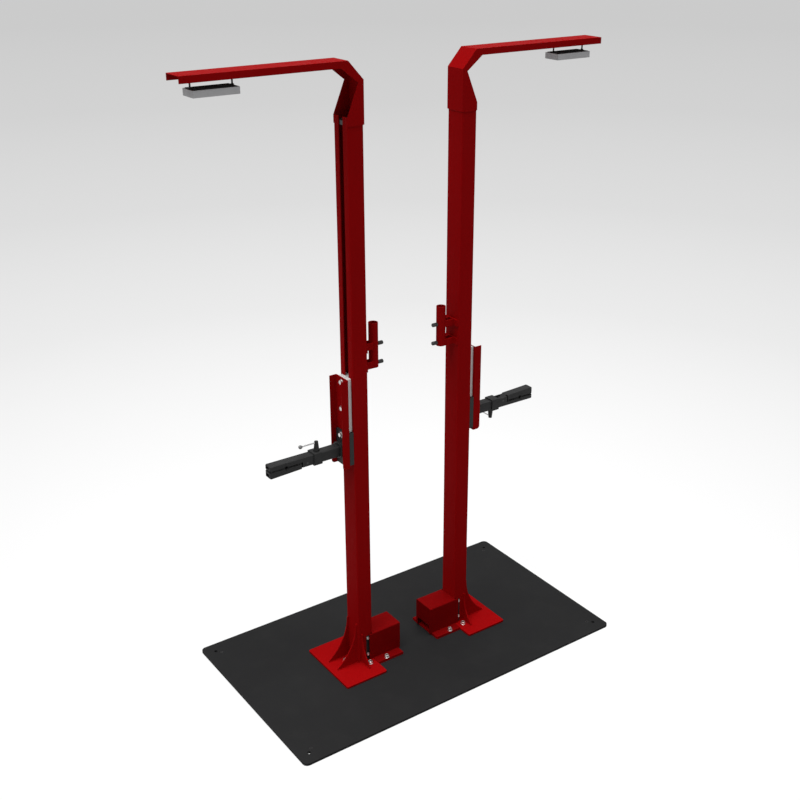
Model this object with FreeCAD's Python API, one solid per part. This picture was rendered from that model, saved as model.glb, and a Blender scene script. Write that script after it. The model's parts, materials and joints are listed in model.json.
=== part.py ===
import FreeCAD, Part
import math
import os
from FreeCAD import Vector

# Twin bicycle work stand: one floor plate with two powered lifting columns that face away from each other.
# Millimetres. Origin at the bottom centre of the floor plate, +X along its long side, +Z up.
# One stand is drawn facing +X. The other is the same stand turned half a turn about Z.

# Clearances
seat_clearance = 0.05       # between pieces that are fixed to each other
running_clearance = 0.08    # radial, between a shaft and its bearing
body_gap = 0.3              # between faces that move past each other
slide_gap = 0.5             # between the carriage and the column's front face

# Floor plate
plate_length = 1500.0
plate_width = 850.0
plate_thickness = 10.0
plate_corner_radius = 20.0
anchor_inset_x = 45.0
anchor_inset_y = 50.0
anchor_hole_radius = 7.0
leveller_offset = 18.0      # from an anchor hole towards the middle, along X and along Y
leveller_radius = 6.0
leveller_recess = 0.5       # how far its ends stay inside the plate
hex_key_size = 6.0
hex_key_depth = 4.5

# Column: folded sheet with an open slot in its front face
column_back = 208.0         # from the middle of the plate to the column's back face
column_depth = 64.0
column_width = 84.0
column_wall = 3.0
column_bend = 4.0
column_length = 2180.0
slot_width = 26.0

# Foot plate and ribs
foot_thickness = 8.0
foot_front_reach = 124.0    # past the column's front face
foot_half_width = 150.0
foot_corner_radius = 8.0
rib_thickness = 5.0
rib_toe = 6.0
rib_top_width = 6.0
rib_hollow_share = 0.118    # depth of the hollow in a rib's slanted edge, as a share of its length
front_rib_edge_gap = 27.0   # from a front rib's toe to the foot plate's edge
front_rib_height = 183.0
front_rib_inset = 9.5       # from the column's side face to a front rib's middle
side_rib_reach = 58.0
side_rib_height = 132.0
side_rib_from_front = 15.0

# Bolts of the foot and the drive
bolt_radius = 5.0
bolt_head_across = 17.0
bolt_head_height = 9.0
bolt_washer_radius = 10.5
bolt_washer_thickness = 2.0
bolt_end_inset = 0.5        # above the floor
front_bolt_from_column = 39.0
side_bolt_from_column = 28.0
side_bolt_behind_rib = 21.0
strip_bolt_from_back = 47.0
strip_bolt_from_cover = 27.0
drive_bolt_radius = 4.0
drive_bolt_head_radius = 7.0
drive_bolt_head_height = 4.5
drive_bolt_grip = 12.0      # length that enters the gear housing
drive_bolt_from_back = 22.0
drive_bolt_low = 27.0       # above the foot plate
drive_bolt_from_top = 12.0  # below the gear housing's top

# Drive cover: folded sheet with a flange at each side
cover_wall = 2.5
cover_end_gap = 14.5        # behind the motor
cover_side_gap = 5.5        # beside the column
cover_top_gap = 3.5         # over the gear housing
cover_lap = 17.0            # how far its side walls reach beside the column
cover_bend = 5.0
cover_flange_reach = 38.0
cover_flange_set_back = 9.0
cover_cutout_half_width = 40.0
cover_cutout_height = 38.0

# Gear housing with its motor
housing_length = 58.0       # behind the column's back face
housing_side_gap = 9.0      # to the column's walls
housing_front_gap = 9.0
housing_height = 116.0
window_margin = 2.0
motor_radius = 33.0
motor_length = 56.0
motor_height = 44.0         # of its axis above the foot plate
motor_cap_radius = 28.0
motor_cap_length = 4.0

# Lifting screw and its bearings
screw_radius = 9.0
screw_journal_radius = 7.5
screw_journal_depth = 76.0  # into the gear housing
screw_top_radius = 6.0
lower_bearing_radius = 18.0
lower_bearing_height = 10.0
upper_bearing_thickness = 14.0
upper_bearing_below_top = 14.0
screw_nut_radius = 16.0
screw_nut_length = 50.0
screw_nut_above_axis = 218.0
nut_carrier_wall = 3.0      # behind the nut
nut_carrier_side_wall = 8.0
nut_carrier_back_gap = 4.0  # to the column's back wall

# Carriage: channel in front of the column, bolted to a guide inside it
clamp_axis_height = 977.0   # above the floor, lowest position
carriage_top = 286.0        # above the clamp's axis
carriage_bottom = 70.0      # below the clamp's axis
carriage_width = 82.0
carriage_depth = 31.0
carriage_wall = 3.0
carriage_corner = 4.0
flange_end_radius = 12.0    # at the lower end of the flanges
pad_thickness = 18.0
pad_side_inset = 11.0
block_side_inset = 1.5
block_bottom = 59.0         # below the clamp's axis
pad_top_inset = 1.0
pad_bottom = 73.5           # above the clamp's axis, where the black block begins
guide_side_gap = 2.0
guide_bottom = 43.0         # above the clamp's axis
guide_corner = 3.0
carriage_bolt_radius = 4.0
carriage_bolt_head_radius = 8.0
carriage_bolt_head_height = 7.0
carriage_washer_radius = 11.0
carriage_washer_thickness = 2.0
carriage_bolt_low = 58.0    # above the clamp's axis
carriage_bolt_from_top = 18.0
carriage_bolt_count = 3
carriage_bolt_end_gap = 1.0

# Swivel of the clamp
head_plate_thickness = 8.0
head_plate_bottom = 65.0    # below the clamp's axis
head_plate_side_gap = 1.2   # to the channel's flanges
head_boss_side_gap = 6.0
head_boss_length = 19.0
swivel_shaft_radius = 13.0
swivel_web_clearance = 1.0
swivel_washer_radius = 18.0
swivel_washer_thickness = 5.4
swivel_washer_recess = 1.1  # behind the block's rear face

# Clamp arm and collar
arm_tube_size = 40.0
arm_tube_wall = 3.0
arm_tube_corner = 4.0
arm_tube_length = 113.2
arm_end_plate = 5.0
collar_wall = 4.5
collar_corner = 5.0
band_width = 5.0            # bright ring between the collar and the jaws

# Jaws
jaw_length = 181.0          # from the end of the arm tube
jaw_root_length = 46.0
jaw_root_roof = 5.0         # over the moving jaw's tail
jaw_notch = 4.5
jaw_tip_rise = 1.0          # of the fixed jaw's back, towards the tip
jaw_belly = 4.0             # of the moving jaw, below the tube
jaw_tip_belly = 9.0
jaw_tip_corner = 7.0
jaw_corner = 5.0
jaw_recess_half_width = 11.0
jaw_recess_share = 0.55     # of the jaw's height at its tip
jaw_recess_depth = 12.0
jaw_recess_corner = 3.0
jaw_split = 4.0             # from the clamp's axis to each metal jaw
jaw_spigot_length = 14.0
jaw_spigot_wall = 5.0
pad_gap_half = 0.3
jaw_pad_from_root = 6.0
jaw_pad_from_tip = 5.0
jaw_pad_side_inset = 0.5
groove_radius = 6.0
groove_liner = 3.4
pivot_from_tube = 26.0
pivot_below_axis = 6.0
pivot_radius = 4.0
pivot_eye_radius = 8.0
tail_side_gap = 0.95        # to the fixed jaw's spigots
tail_half_thickness = 2.8
tail_slot_margin = 0.6
trunnion_radius = 5.0

# Stud and crank that open the jaws
stud_from_tube_end = 24.0
stud_radius = 4.0
stud_in_hub = 7.2           # how far the stud stands in the hub
stud_flange_radius = 7.4
stud_flange_thickness = 2.5
stud_floor_gap = 1.2        # from the stud's lower flange to the tube's wall
hub_neck_radius = 6.0
hub_flange_radius = 8.5
hub_flange_thickness = 2.3
hub_base_radius = 10.5
hub_top_radius = 6.0
hub_height = 37.0
hub_cap = 12.0              # solid top of the hub, over the stud's bore
crank_rod_below_top = 6.0
crank_rod_stub = 5.0        # of the rod, past the hub's middle
crank_rod_radius = 2.0
crank_reach = 67.0
ball_radius = 7.5

# Socket for accessories on the column's back. The brackets sit a little higher on the right stand.
socket_from_back = 54.0     # from the column's back face to the socket's axis
socket_radius = 18.0
socket_wall = 2.5
socket_top = 1447.0         # above the floor
socket_length = {"left": 173.0, "right": 157.0}
bracket_height = 26.0
bracket_wall = 5.0
bracket_half_width = 38.0
bracket_arm_half = 17.0     # from the middle to an arm's outer face
bracket_first = 13.0        # above the tube's bottom
bracket_pitch = 74.0
bracket_count = 2
set_screw_radius = 5.0
set_screw_head_radius = 7.5
set_screw_head_gap = 0.5
set_screw_reach = 22.0      # beyond the tube

# Top arm: folded channel over the column's head
arm_wall = 2.5
arm_lap = 28.0              # down over the column
arm_bend_rise = 119.0       # from the column's top to the first bend, along the back
arm_rise = 183.0            # from the column's top to the arm's top
arm_crank_run = 58.5
arm_reach = 650.0           # from the column's back face to the tip
arm_depth = 23.0
arm_neck_depth = 20.5
arm_neck_drop = 9.0
arm_elbow_run = 27.0

# Lamp under the top arm
lamp_length = 160.0
lamp_width = 73.0
lamp_height = 22.0
lamp_wall = 2.0
lamp_corner = 3.0
lamp_tip_gap = 46.0         # from the arm's tip to the lamp's end
lamp_drop = 48.0            # from the arm's top to the lamp's top
lens_thickness = 3.0
hanger_inset = 1.0
hanger_radius = 3.0
nut_across = 10.0
nut_height = 5.0

# Places and sizes that follow from those above
foot_base = plate_thickness
foot_top = foot_base + foot_thickness
column_front = column_back + column_depth
column_top = foot_top + column_length
half_column = column_width / 2
front_rib_y = half_column - front_rib_inset
side_rib_x = column_front - side_rib_from_front
housing_top = foot_top + housing_height
housing_half_width = half_column - column_wall - housing_side_gap
housing_front = column_front - column_wall - housing_front_gap
cover_half_width = half_column + cover_side_gap + cover_wall
cover_end = column_back - housing_length - motor_length - cover_end_gap - cover_wall
cover_top = housing_top + cover_top_gap + cover_wall
strip_half_width = cover_half_width + cover_flange_reach
strip_end = cover_end + cover_flange_set_back
nut_carrier_back = column_back + column_wall + nut_carrier_back_gap
nut_carrier_half_width = screw_nut_radius + nut_carrier_side_wall
screw_x = nut_carrier_back + nut_carrier_wall + screw_nut_radius
pad_back = column_front + slide_gap
web_back = pad_back + pad_thickness
web_front = web_back + carriage_wall
flange_front = web_back + carriage_depth
carriage_low = clamp_axis_height - carriage_bottom
carriage_high = clamp_axis_height + carriage_top
pad_low = clamp_axis_height + pad_bottom
pad_high = carriage_high - pad_top_inset
pad_half_width = carriage_width / 2 - pad_side_inset
block_half_width = carriage_width / 2 - block_side_inset
block_low = clamp_axis_height - block_bottom
guide_front = column_front - column_wall - body_gap
guide_back = screw_x + screw_nut_radius
guide_low = clamp_axis_height + guide_bottom
guide_half_width = half_column - column_wall - guide_side_gap
head_half_width = carriage_width / 2 - carriage_wall - head_plate_side_gap
head_boss_radius = carriage_width / 2 - carriage_wall - head_boss_side_gap
head_front = web_front + head_plate_thickness + head_boss_length
tube_start = head_front + body_gap
tube_end = tube_start + arm_tube_length
root_end = tube_end + jaw_root_length
jaw_tip = tube_end + jaw_length
pivot_x = tube_end + pivot_from_tube
pivot_z = clamp_axis_height - pivot_below_axis
stud_x = tube_end - stud_from_tube_end
half_tube = arm_tube_size / 2
tube_floor = clamp_axis_height - half_tube + arm_tube_wall
tube_ceiling = clamp_axis_height + half_tube - arm_tube_wall
spigot_half = half_tube - arm_tube_wall - seat_clearance
tail_half_width = spigot_half - jaw_spigot_wall - tail_side_gap
stud_low = tube_floor + stud_floor_gap
trunnion_z = stud_low + stud_flange_thickness + body_gap + trunnion_radius
collar_start = stud_x - hub_base_radius
half_collar = half_tube + seat_clearance + collar_wall
hub_base = clamp_axis_height + half_collar + body_gap
hub_top = hub_base + hub_height
rod_z = hub_top - crank_rod_below_top
jaw_pad_start = root_end + jaw_pad_from_root
jaw_pad_end = jaw_tip - jaw_pad_from_tip
jaw_pad_half_width = half_tube - jaw_pad_side_inset
groove_x = (jaw_pad_start + jaw_pad_end) / 2
groove_metal_radius = groove_radius + groove_liner
socket_x = column_back - socket_from_back
arm_back = column_back - arm_wall
arm_half_width = half_column + arm_wall
arm_tip = column_back + arm_reach
arm_top_height = column_top + arm_rise
arm_web_bottom = arm_top_height - arm_wall
lamp_top = arm_top_height - lamp_drop
lamp_front = arm_tip - lamp_tip_gap
lamp_back = lamp_front - lamp_length

stands = ("left", "right")
socket_low = {side: socket_top - socket_length[side] for side in stands}
turn = {"left": 180.0, "right": 0.0}          # of the whole stand about Z
clamp_roll = {"left": 0.0, "right": 180.0}    # of the clamp about its arm
crank_angle = {"left": 0.0, "right": -90.0}   # of the crank about its stud


X = Vector(1, 0, 0)
Y = Vector(0, 1, 0)
Z = Vector(0, 0, 1)


def box(x0, x1, y0, y1, z0, z1):
    return Part.makeBox(x1 - x0, y1 - y0, z1 - z0, Vector(x0, y0, z0))


def centred_box(x0, x1, half_width, z0, z1):
    return box(x0, x1, -half_width, half_width, z0, z1)


def cylinder_z(x, y, radius, z0, z1):
    return Part.makeCylinder(radius, z1 - z0, Vector(x, y, z0), Vector(0, 0, 1))


def cylinder_x(y, z, radius, x0, x1):
    return Part.makeCylinder(radius, x1 - x0, Vector(x0, y, z), Vector(1, 0, 0))


def cylinder_y(x, z, radius, y0, y1):
    return Part.makeCylinder(radius, y1 - y0, Vector(x, y0, z), Vector(0, 1, 0))


def side_prism(points, y0, y1):
    """Extrude an outline given as (x, z) pairs from y0 to y1."""
    corners = [Vector(x, y0, z) for x, z in points]
    face = Part.Face(Part.makePolygon(corners + corners[:1]))
    return face.extrude(Vector(0, y1 - y0, 0))


def plan_prism(points, z0, z1):
    """Extrude an outline given as (x, y) pairs from z0 to z1."""
    corners = [Vector(x, y, z0) for x, y in points]
    face = Part.Face(Part.makePolygon(corners + corners[:1]))
    return face.extrude(Vector(0, 0, z1 - z0))


def hexagon(across, centre_a, centre_b):
    radius = across / math.sqrt(3)
    angles = [math.radians(60 * k) for k in range(6)]
    return [(centre_a + radius * math.cos(a), centre_b + radius * math.sin(a)) for a in angles]


def fused(shapes):
    whole = shapes[0].fuse(shapes[1:])
    return whole.removeSplitter()


def without(shape, tools):
    for tool in tools:
        shape = shape.cut(tool)
    return shape


def rounded(shape, radius, axis, keep=None):
    """Round the straight edges that run along an axis and whose middle passes the test."""
    edges = []
    for edge in shape.Edges:
        if not isinstance(edge.Curve, Part.Line):
            continue
        start = edge.Vertexes[0].Point
        run = edge.Vertexes[-1].Point - start
        along = abs(run.dot(axis)) > 0.999 * run.Length
        if along and (keep is None or keep(start + run * 0.5)):
            edges.append(edge)
    return shape.makeFillet(radius, edges)


# Floor plate and its levelling screws

def corner_points(inset_x, inset_y):
    x = plate_length / 2 - inset_x
    y = plate_width / 2 - inset_y
    return [(sx * x, sy * y) for sx in (-1, 1) for sy in (-1, 1)]


anchor_points = corner_points(anchor_inset_x, anchor_inset_y)
leveller_points = corner_points(anchor_inset_x + leveller_offset, anchor_inset_y + leveller_offset)
foot_bolt_points = [
    (column_front + front_bolt_from_column, 0.0),
    (side_rib_x - side_bolt_behind_rib, half_column + side_bolt_from_column),
    (side_rib_x - side_bolt_behind_rib, -half_column - side_bolt_from_column),
]
strip_bolt_points = [
    (column_back - strip_bolt_from_back, cover_half_width + strip_bolt_from_cover),
    (column_back - strip_bolt_from_back, -cover_half_width - strip_bolt_from_cover),
]


def base_plate():
    plate = box(-plate_length / 2, plate_length / 2, -plate_width / 2, plate_width / 2, 0, plate_thickness)
    plate = rounded(plate, plate_corner_radius, Z)
    holes = [cylinder_z(x, y, anchor_hole_radius, -1, plate_thickness + 1) for x, y in anchor_points]
    level_hole = leveller_radius + seat_clearance
    holes += [cylinder_z(x, y, level_hole, -1, plate_thickness + 1) for x, y in leveller_points]
    bolt_hole = bolt_radius + seat_clearance
    for side in (-1, 1):
        for x, y in foot_bolt_points + strip_bolt_points:
            holes.append(cylinder_z(side * x, side * y, bolt_hole, -1, plate_thickness + 1))
    return without(plate, holes)


def levelling_screws():
    screws = []
    top = plate_thickness - leveller_recess
    for x, y in leveller_points:
        body = cylinder_z(x, y, leveller_radius, leveller_recess, top)
        key = plan_prism(hexagon(hex_key_size, x, y), top - hex_key_depth, top + 1)
        screws.append(body.cut(key))
    return screws


# Column, foot plate and ribs

def column():
    low, high = foot_top, column_top
    shell = rounded(centred_box(column_back, column_front, half_column, low, high), column_bend, Z)
    inner = centred_box(column_back + column_wall, column_front - column_wall, half_column - column_wall,
                        low - 1, high + 1)
    inner = rounded(inner, column_bend - column_wall, Z)
    slot = centred_box(column_front - 2 * column_wall, column_front + 1, slot_width / 2,
                       guide_low - body_gap, high + 1)
    window = centred_box(column_back - 1, column_back + 2 * column_wall, housing_half_width + window_margin,
                         low - 1, housing_top + window_margin)
    holes = []
    for x, y, z, side in drive_bolt_places():
        holes.append(cylinder_y(x, z, drive_bolt_radius + seat_clearance, y - column_wall, y + column_wall))
    return without(shell, [inner, slot, window] + holes)


def foot_plate():
    low, high = foot_base, foot_top
    front = column_front + foot_front_reach
    main = centred_box(column_back, front, foot_half_width, low, high)
    main = rounded(main, foot_corner_radius, Z)
    strip = centred_box(strip_end, column_back + foot_corner_radius, strip_half_width, low, high)
    plate = fused([main, strip])
    hole = bolt_radius + seat_clearance
    return without(plate, [cylinder_z(x, y, hole, low - 1, high + 1)
                           for x, y in foot_bolt_points + strip_bolt_points])


def rib(reach, height):
    """A rib that stands at the origin and reaches along X. Its slanted edge is a hollow arc."""
    heel, head = Vector(0, 0, 0), Vector(0, 0, height)
    foot, toe, top = Vector(reach, 0, 0), Vector(reach, 0, rib_toe), Vector(rib_top_width, 0, height)
    slope = toe - top
    hollow = (toe + top) * 0.5 + Vector(slope.z, 0, -slope.x) * rib_hollow_share
    edges = [Part.makeLine(heel, foot), Part.makeLine(foot, toe), Part.Arc(toe, hollow, top).toShape(),
             Part.makeLine(top, head), Part.makeLine(head, heel)]
    plate = Part.Face(Part.Wire(edges)).extrude(Vector(0, rib_thickness, 0))
    plate.translate(Vector(0, -rib_thickness / 2, 0))
    return plate


def ribs():
    pieces = []
    for y in (-front_rib_y, front_rib_y):
        piece = rib(foot_front_reach - front_rib_edge_gap, front_rib_height)
        piece.translate(Vector(column_front, y, foot_top))
        pieces.append(piece)
    for side in (-1, 1):
        piece = rib(side_rib_reach, side_rib_height)
        piece.rotate(Vector(0, 0, 0), Z, side * 90)
        piece.translate(Vector(side_rib_x, side * half_column, foot_top))
        pieces.append(piece)
    return pieces


# Bolts

def foot_bolt(x, y, seat):
    head_low = seat + bolt_washer_thickness
    shank = cylinder_z(x, y, bolt_radius, bolt_end_inset, head_low)
    washer = cylinder_z(x, y, bolt_washer_radius, seat, head_low)
    head = plan_prism(hexagon(bolt_head_across, x, y), head_low, head_low + bolt_head_height)
    return fused([shank, washer, head])


def drive_bolt_places():
    x = column_back + drive_bolt_from_back
    heights = (foot_top + drive_bolt_low, housing_top - drive_bolt_from_top)
    return [(x, side * half_column, z, side) for side in (-1, 1) for z in heights]


def drive_bolt(x, y, z, side):
    inner = side * (housing_half_width - drive_bolt_grip)
    shank = cylinder_y(x, z, drive_bolt_radius, min(y, inner), max(y, inner))
    outer = y + side * drive_bolt_head_height
    head = cylinder_y(x, z, drive_bolt_head_radius, min(y, outer), max(y, outer))
    return fused([shank, head])


def foot_bolts():
    bolts = [foot_bolt(x, y, foot_top) for x, y in foot_bolt_points]
    bolts += [foot_bolt(x, y, foot_top + cover_wall) for x, y in strip_bolt_points]
    bolts += [drive_bolt(*place) for place in drive_bolt_places()]
    return bolts


# Drive

def drive_cover():
    low, high = foot_top, cover_top
    end = cover_end
    front = column_back + cover_lap
    shell = centred_box(end, front, cover_half_width, low, high)
    shell = rounded(shell, cover_bend, X, lambda p: p.z > low + 1)
    inner_half = cover_half_width - cover_wall
    inner = centred_box(end + cover_wall, front + 1, inner_half, low - 1, high - cover_wall)
    inner = rounded(inner, cover_bend - cover_wall, X, lambda p: p.z > low + 1)
    head = centred_box(column_back, front + 1, inner_half, high - 2 * cover_wall, high + 1)
    cutout = centred_box(end - 1, end + 2 * cover_wall, cover_cutout_half_width, low - 1,
                         low + cover_cutout_height)
    shell = without(shell, [inner, head, cutout])
    flanges = []
    for side in (-1, 1):
        edge = side * (cover_half_width - cover_wall)
        outer = side * strip_half_width
        y0, y1 = sorted((edge, outer))
        flanges.append(box(strip_end, column_back, y0, y1, low, low + cover_wall))
    hole = bolt_radius + seat_clearance
    holes = [cylinder_z(x, y, hole, low - 1, low + cover_wall + 1) for x, y in strip_bolt_points]
    return without(fused([shell] + flanges), holes)


def gearmotor():
    low, high = foot_top, housing_top
    housing = centred_box(column_back - housing_length, housing_front, housing_half_width, low, high)
    housing = rounded(housing, column_bend, Z)
    motor_z = foot_top + motor_height
    motor_x1 = column_back - housing_length
    motor_x0 = motor_x1 - motor_length + motor_cap_length
    motor = cylinder_x(0, motor_z, motor_radius, motor_x0, motor_x1 + 1)
    cap = cylinder_x(0, motor_z, motor_cap_radius, motor_x0 - motor_cap_length, motor_x0 + 1)
    bore = cylinder_z(screw_x, 0, screw_journal_radius + running_clearance,
                      high - screw_journal_depth - body_gap, high + 1)
    holes = []
    for x, y, z, side in drive_bolt_places():
        tip = side * (housing_half_width - drive_bolt_grip)
        outer = side * (housing_half_width + 1)
        holes.append(cylinder_y(x, z, drive_bolt_radius + seat_clearance, min(tip, outer), max(tip, outer)))
    return without(fused([housing, motor, cap]), [bore] + holes)


def lifting_screw():
    shoulder = housing_top + body_gap
    top = column_top - upper_bearing_below_top
    plate_low = top - upper_bearing_thickness
    journal = cylinder_z(screw_x, 0, screw_journal_radius, housing_top - screw_journal_depth, shoulder + 1)
    shaft = cylinder_z(screw_x, 0, screw_radius, shoulder, plate_low - body_gap)
    end = cylinder_z(screw_x, 0, screw_top_radius, plate_low - body_gap - 1, top)
    return fused([journal, shaft, end])


def screw_bearings():
    lower = cylinder_z(screw_x, 0, lower_bearing_radius, housing_top, housing_top + lower_bearing_height)
    lower = lower.cut(cylinder_z(screw_x, 0, screw_radius + running_clearance, housing_top - 1,
                                 housing_top + lower_bearing_height + 1))
    high = column_top - upper_bearing_below_top
    low = high - upper_bearing_thickness
    fit = column_wall + seat_clearance
    upper = centred_box(column_back + fit, column_front - fit, half_column - fit, low, high)
    upper = rounded(upper, column_bend - column_wall + seat_clearance, Z)
    upper = upper.cut(cylinder_z(screw_x, 0, screw_top_radius + running_clearance, low - 1, high + 1))
    return [lower, upper]


def nut_range():
    low = clamp_axis_height + screw_nut_above_axis - screw_nut_length / 2
    return low, low + screw_nut_length


def screw_nut():
    low, high = nut_range()
    nut = cylinder_z(screw_x, 0, screw_nut_radius, low, high)
    return nut.cut(cylinder_z(screw_x, 0, screw_radius + body_gap, low - 1, high + 1))


# Carriage

def carriage_bolt_heights():
    low = clamp_axis_height + carriage_bolt_low
    pitch = (carriage_high - carriage_bolt_from_top - low) / (carriage_bolt_count - 1)
    return [low + k * pitch for k in range(carriage_bolt_count)]


def carriage_bolt_holes(x0, x1):
    hole = carriage_bolt_radius + seat_clearance
    return [cylinder_x(0, z, hole, x0, x1) for z in carriage_bolt_heights()]


def guide_block():
    plate = centred_box(guide_back, guide_front, guide_half_width, guide_low, pad_high)
    neck = centred_box(guide_front - 1, pad_back, slot_width / 2 - body_gap, guide_low, pad_high)
    low, high = nut_range()
    carrier = centred_box(nut_carrier_back, guide_back + 1, nut_carrier_half_width, low, high)
    carrier = rounded(carrier, guide_corner, Z, lambda p: p.x < guide_back)
    plate = rounded(plate, guide_corner, Z)
    bore = cylinder_z(screw_x, 0, screw_nut_radius + seat_clearance, low - 1, high + 1)
    holes = carriage_bolt_holes(guide_back - 1, pad_back + 1)
    return without(fused([plate, neck, carrier]), [bore] + holes)


def slide_pad():
    pad = centred_box(pad_back, web_back, pad_half_width, pad_low, pad_high)
    return without(pad, carriage_bolt_holes(pad_back - 1, web_back + 1))


def carriage_channel():
    half = carriage_width / 2
    outer = centred_box(web_back, flange_front, half, carriage_low, carriage_high)
    outer = rounded(outer, carriage_corner, Z, lambda p: p.x < web_front)
    outer = rounded(outer, flange_end_radius, Y, lambda p: p.x > web_front and p.z < clamp_axis_height)
    inner_half = half - carriage_wall
    inner = centred_box(web_front, flange_front + 1, inner_half, carriage_low - 1, carriage_high + 1)
    inner = rounded(inner, max(carriage_corner - carriage_wall, 0.5), Z, lambda p: p.x < web_front + 1)
    shaft_hole = cylinder_x(0, clamp_axis_height, swivel_shaft_radius + swivel_web_clearance,
                            web_back - 1, web_front + 1)
    return without(outer, [inner, shaft_hole] + carriage_bolt_holes(web_back - 1, web_front + 1))


def carriage_bolts():
    bolts = []
    for z in carriage_bolt_heights():
        seat = web_front
        if z < pad_low:
            seat = web_front + head_plate_thickness
        head_seat = seat + carriage_washer_thickness
        shank = cylinder_x(0, z, carriage_bolt_radius, guide_back + carriage_bolt_end_gap, seat)
        washer = cylinder_x(0, z, carriage_washer_radius, seat, head_seat)
        head = cylinder_x(0, z, carriage_bolt_head_radius, head_seat, head_seat + carriage_bolt_head_height)
        bolts.append(fused([shank, washer, head]))
    return bolts


# Swivel

def swivel_bore(x0, x1):
    return cylinder_x(0, clamp_axis_height, swivel_shaft_radius + running_clearance, x0, x1)


def swivel_block():
    block = centred_box(pad_back, web_back, block_half_width, block_low, pad_low)
    recess_end = pad_back + swivel_washer_recess + swivel_washer_thickness + body_gap
    recess = cylinder_x(0, clamp_axis_height, swivel_washer_radius + body_gap, pad_back - 1, recess_end)
    bore = swivel_bore(pad_back - 1, web_back + 1)
    return without(block, [recess, bore] + carriage_bolt_holes(pad_back - 1, web_back + 1)[:1])


def swivel_head():
    plate = centred_box(web_front, web_front + head_plate_thickness, head_half_width,
                        clamp_axis_height - head_plate_bottom, pad_low)
    plate = rounded(plate, carriage_corner, X)
    boss = cylinder_x(0, clamp_axis_height, head_boss_radius, web_front + 1, head_front)
    bore = swivel_bore(web_front - 1, head_front + 1)
    return without(fused([plate, boss]), [bore] + carriage_bolt_holes(web_front - 1, head_front)[:1])


def clamp_rings():
    """The disc that holds the shaft in the swivel, and the band round the arm's end."""
    x0 = pad_back + swivel_washer_recess
    disc = cylinder_x(0, clamp_axis_height, swivel_washer_radius, x0, x0 + swivel_washer_thickness)
    return [disc, sleeve(tube_end - band_width, tube_end)]


# Clamp arm, collar and jaws, drawn with the crank on top

def square_bar(size, corner, x0, x1):
    half = size / 2
    bar = centred_box(x0, x1, half, clamp_axis_height - half, clamp_axis_height + half)
    return rounded(bar, corner, X)


def clamp_arm():
    shaft_end = pad_back + swivel_washer_recess + swivel_washer_thickness
    bar = square_bar(arm_tube_size, arm_tube_corner, tube_start, tube_end)
    hollow = square_bar(arm_tube_size - 2 * arm_tube_wall, arm_tube_corner - arm_tube_wall,
                        tube_start + arm_end_plate, tube_end + 1)
    shaft = cylinder_x(0, clamp_axis_height, swivel_shaft_radius, shaft_end, tube_start + 1)
    neck_hole = cylinder_z(stud_x, 0, hub_neck_radius + body_gap, clamp_axis_height,
                           clamp_axis_height + arm_tube_size)
    return fused([bar, shaft]).cut(hollow).cut(neck_hole)


def sleeve(x0, x1):
    outer = square_bar(2 * half_collar, collar_corner, x0, x1)
    return outer.cut(square_bar(arm_tube_size + 2 * seat_clearance, arm_tube_corner + seat_clearance,
                                x0 - 1, x1 + 1))


def clamp_collar():
    neck_hole = cylinder_z(stud_x, 0, hub_neck_radius + body_gap, clamp_axis_height, hub_base)
    return sleeve(collar_start, tube_end - band_width).cut(neck_hole)


def groove(radius, half_width):
    return cylinder_y(groove_x, clamp_axis_height, radius, -half_width, half_width)


def tip_recess(side):
    """The blind recess in the tip of the upper jaw (side 1) or the lower jaw (side -1)."""
    outer = half_tube + (jaw_tip_rise if side > 0 else jaw_tip_belly)
    middle = clamp_axis_height + side * (jaw_split + outer) / 2
    half = jaw_recess_share * (outer - jaw_split) / 2
    recess = centred_box(jaw_tip - jaw_recess_depth, jaw_tip + 1, jaw_recess_half_width, middle - half,
                         middle + half)
    return rounded(recess, jaw_recess_corner, X)


def fixed_jaw():
    axis = clamp_axis_height
    low, high = axis - half_tube, axis + half_tube
    slot_half = tail_half_width + body_gap
    outline = [(tube_end, low), (root_end, low), (root_end, axis + jaw_split), (jaw_tip, axis + jaw_split),
               (jaw_tip, high + jaw_tip_rise), (root_end, high), (tube_end, high)]
    jaw = side_prism(outline, -half_tube, half_tube)
    jaw = rounded(jaw, jaw_tip_corner, Z, lambda p: p.x > jaw_tip - 1)
    jaw = rounded(jaw, jaw_corner, X, lambda p: abs(p.z - axis) > 2 * jaw_split)
    tail_slot = centred_box(tube_end - 1, root_end + 1, slot_half, low - 1, high - jaw_root_roof)
    spigots = []
    for side in (-1, 1):
        inner = side * (spigot_half - jaw_spigot_wall)
        outer = side * spigot_half
        spigots.append(box(tube_end - jaw_spigot_length, tube_end + 1, min(inner, outer), max(inner, outer),
                           axis - spigot_half + arm_tube_corner, axis + spigot_half - arm_tube_corner))
    pin_hole = cylinder_y(pivot_x, pivot_z, pivot_radius + seat_clearance, -half_tube - 1, half_tube + 1)
    liner = groove(groove_metal_radius + seat_clearance, half_tube + 1)
    return without(fused([jaw.cut(tail_slot)] + spigots), [pin_hole, liner, tip_recess(1)])


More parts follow.
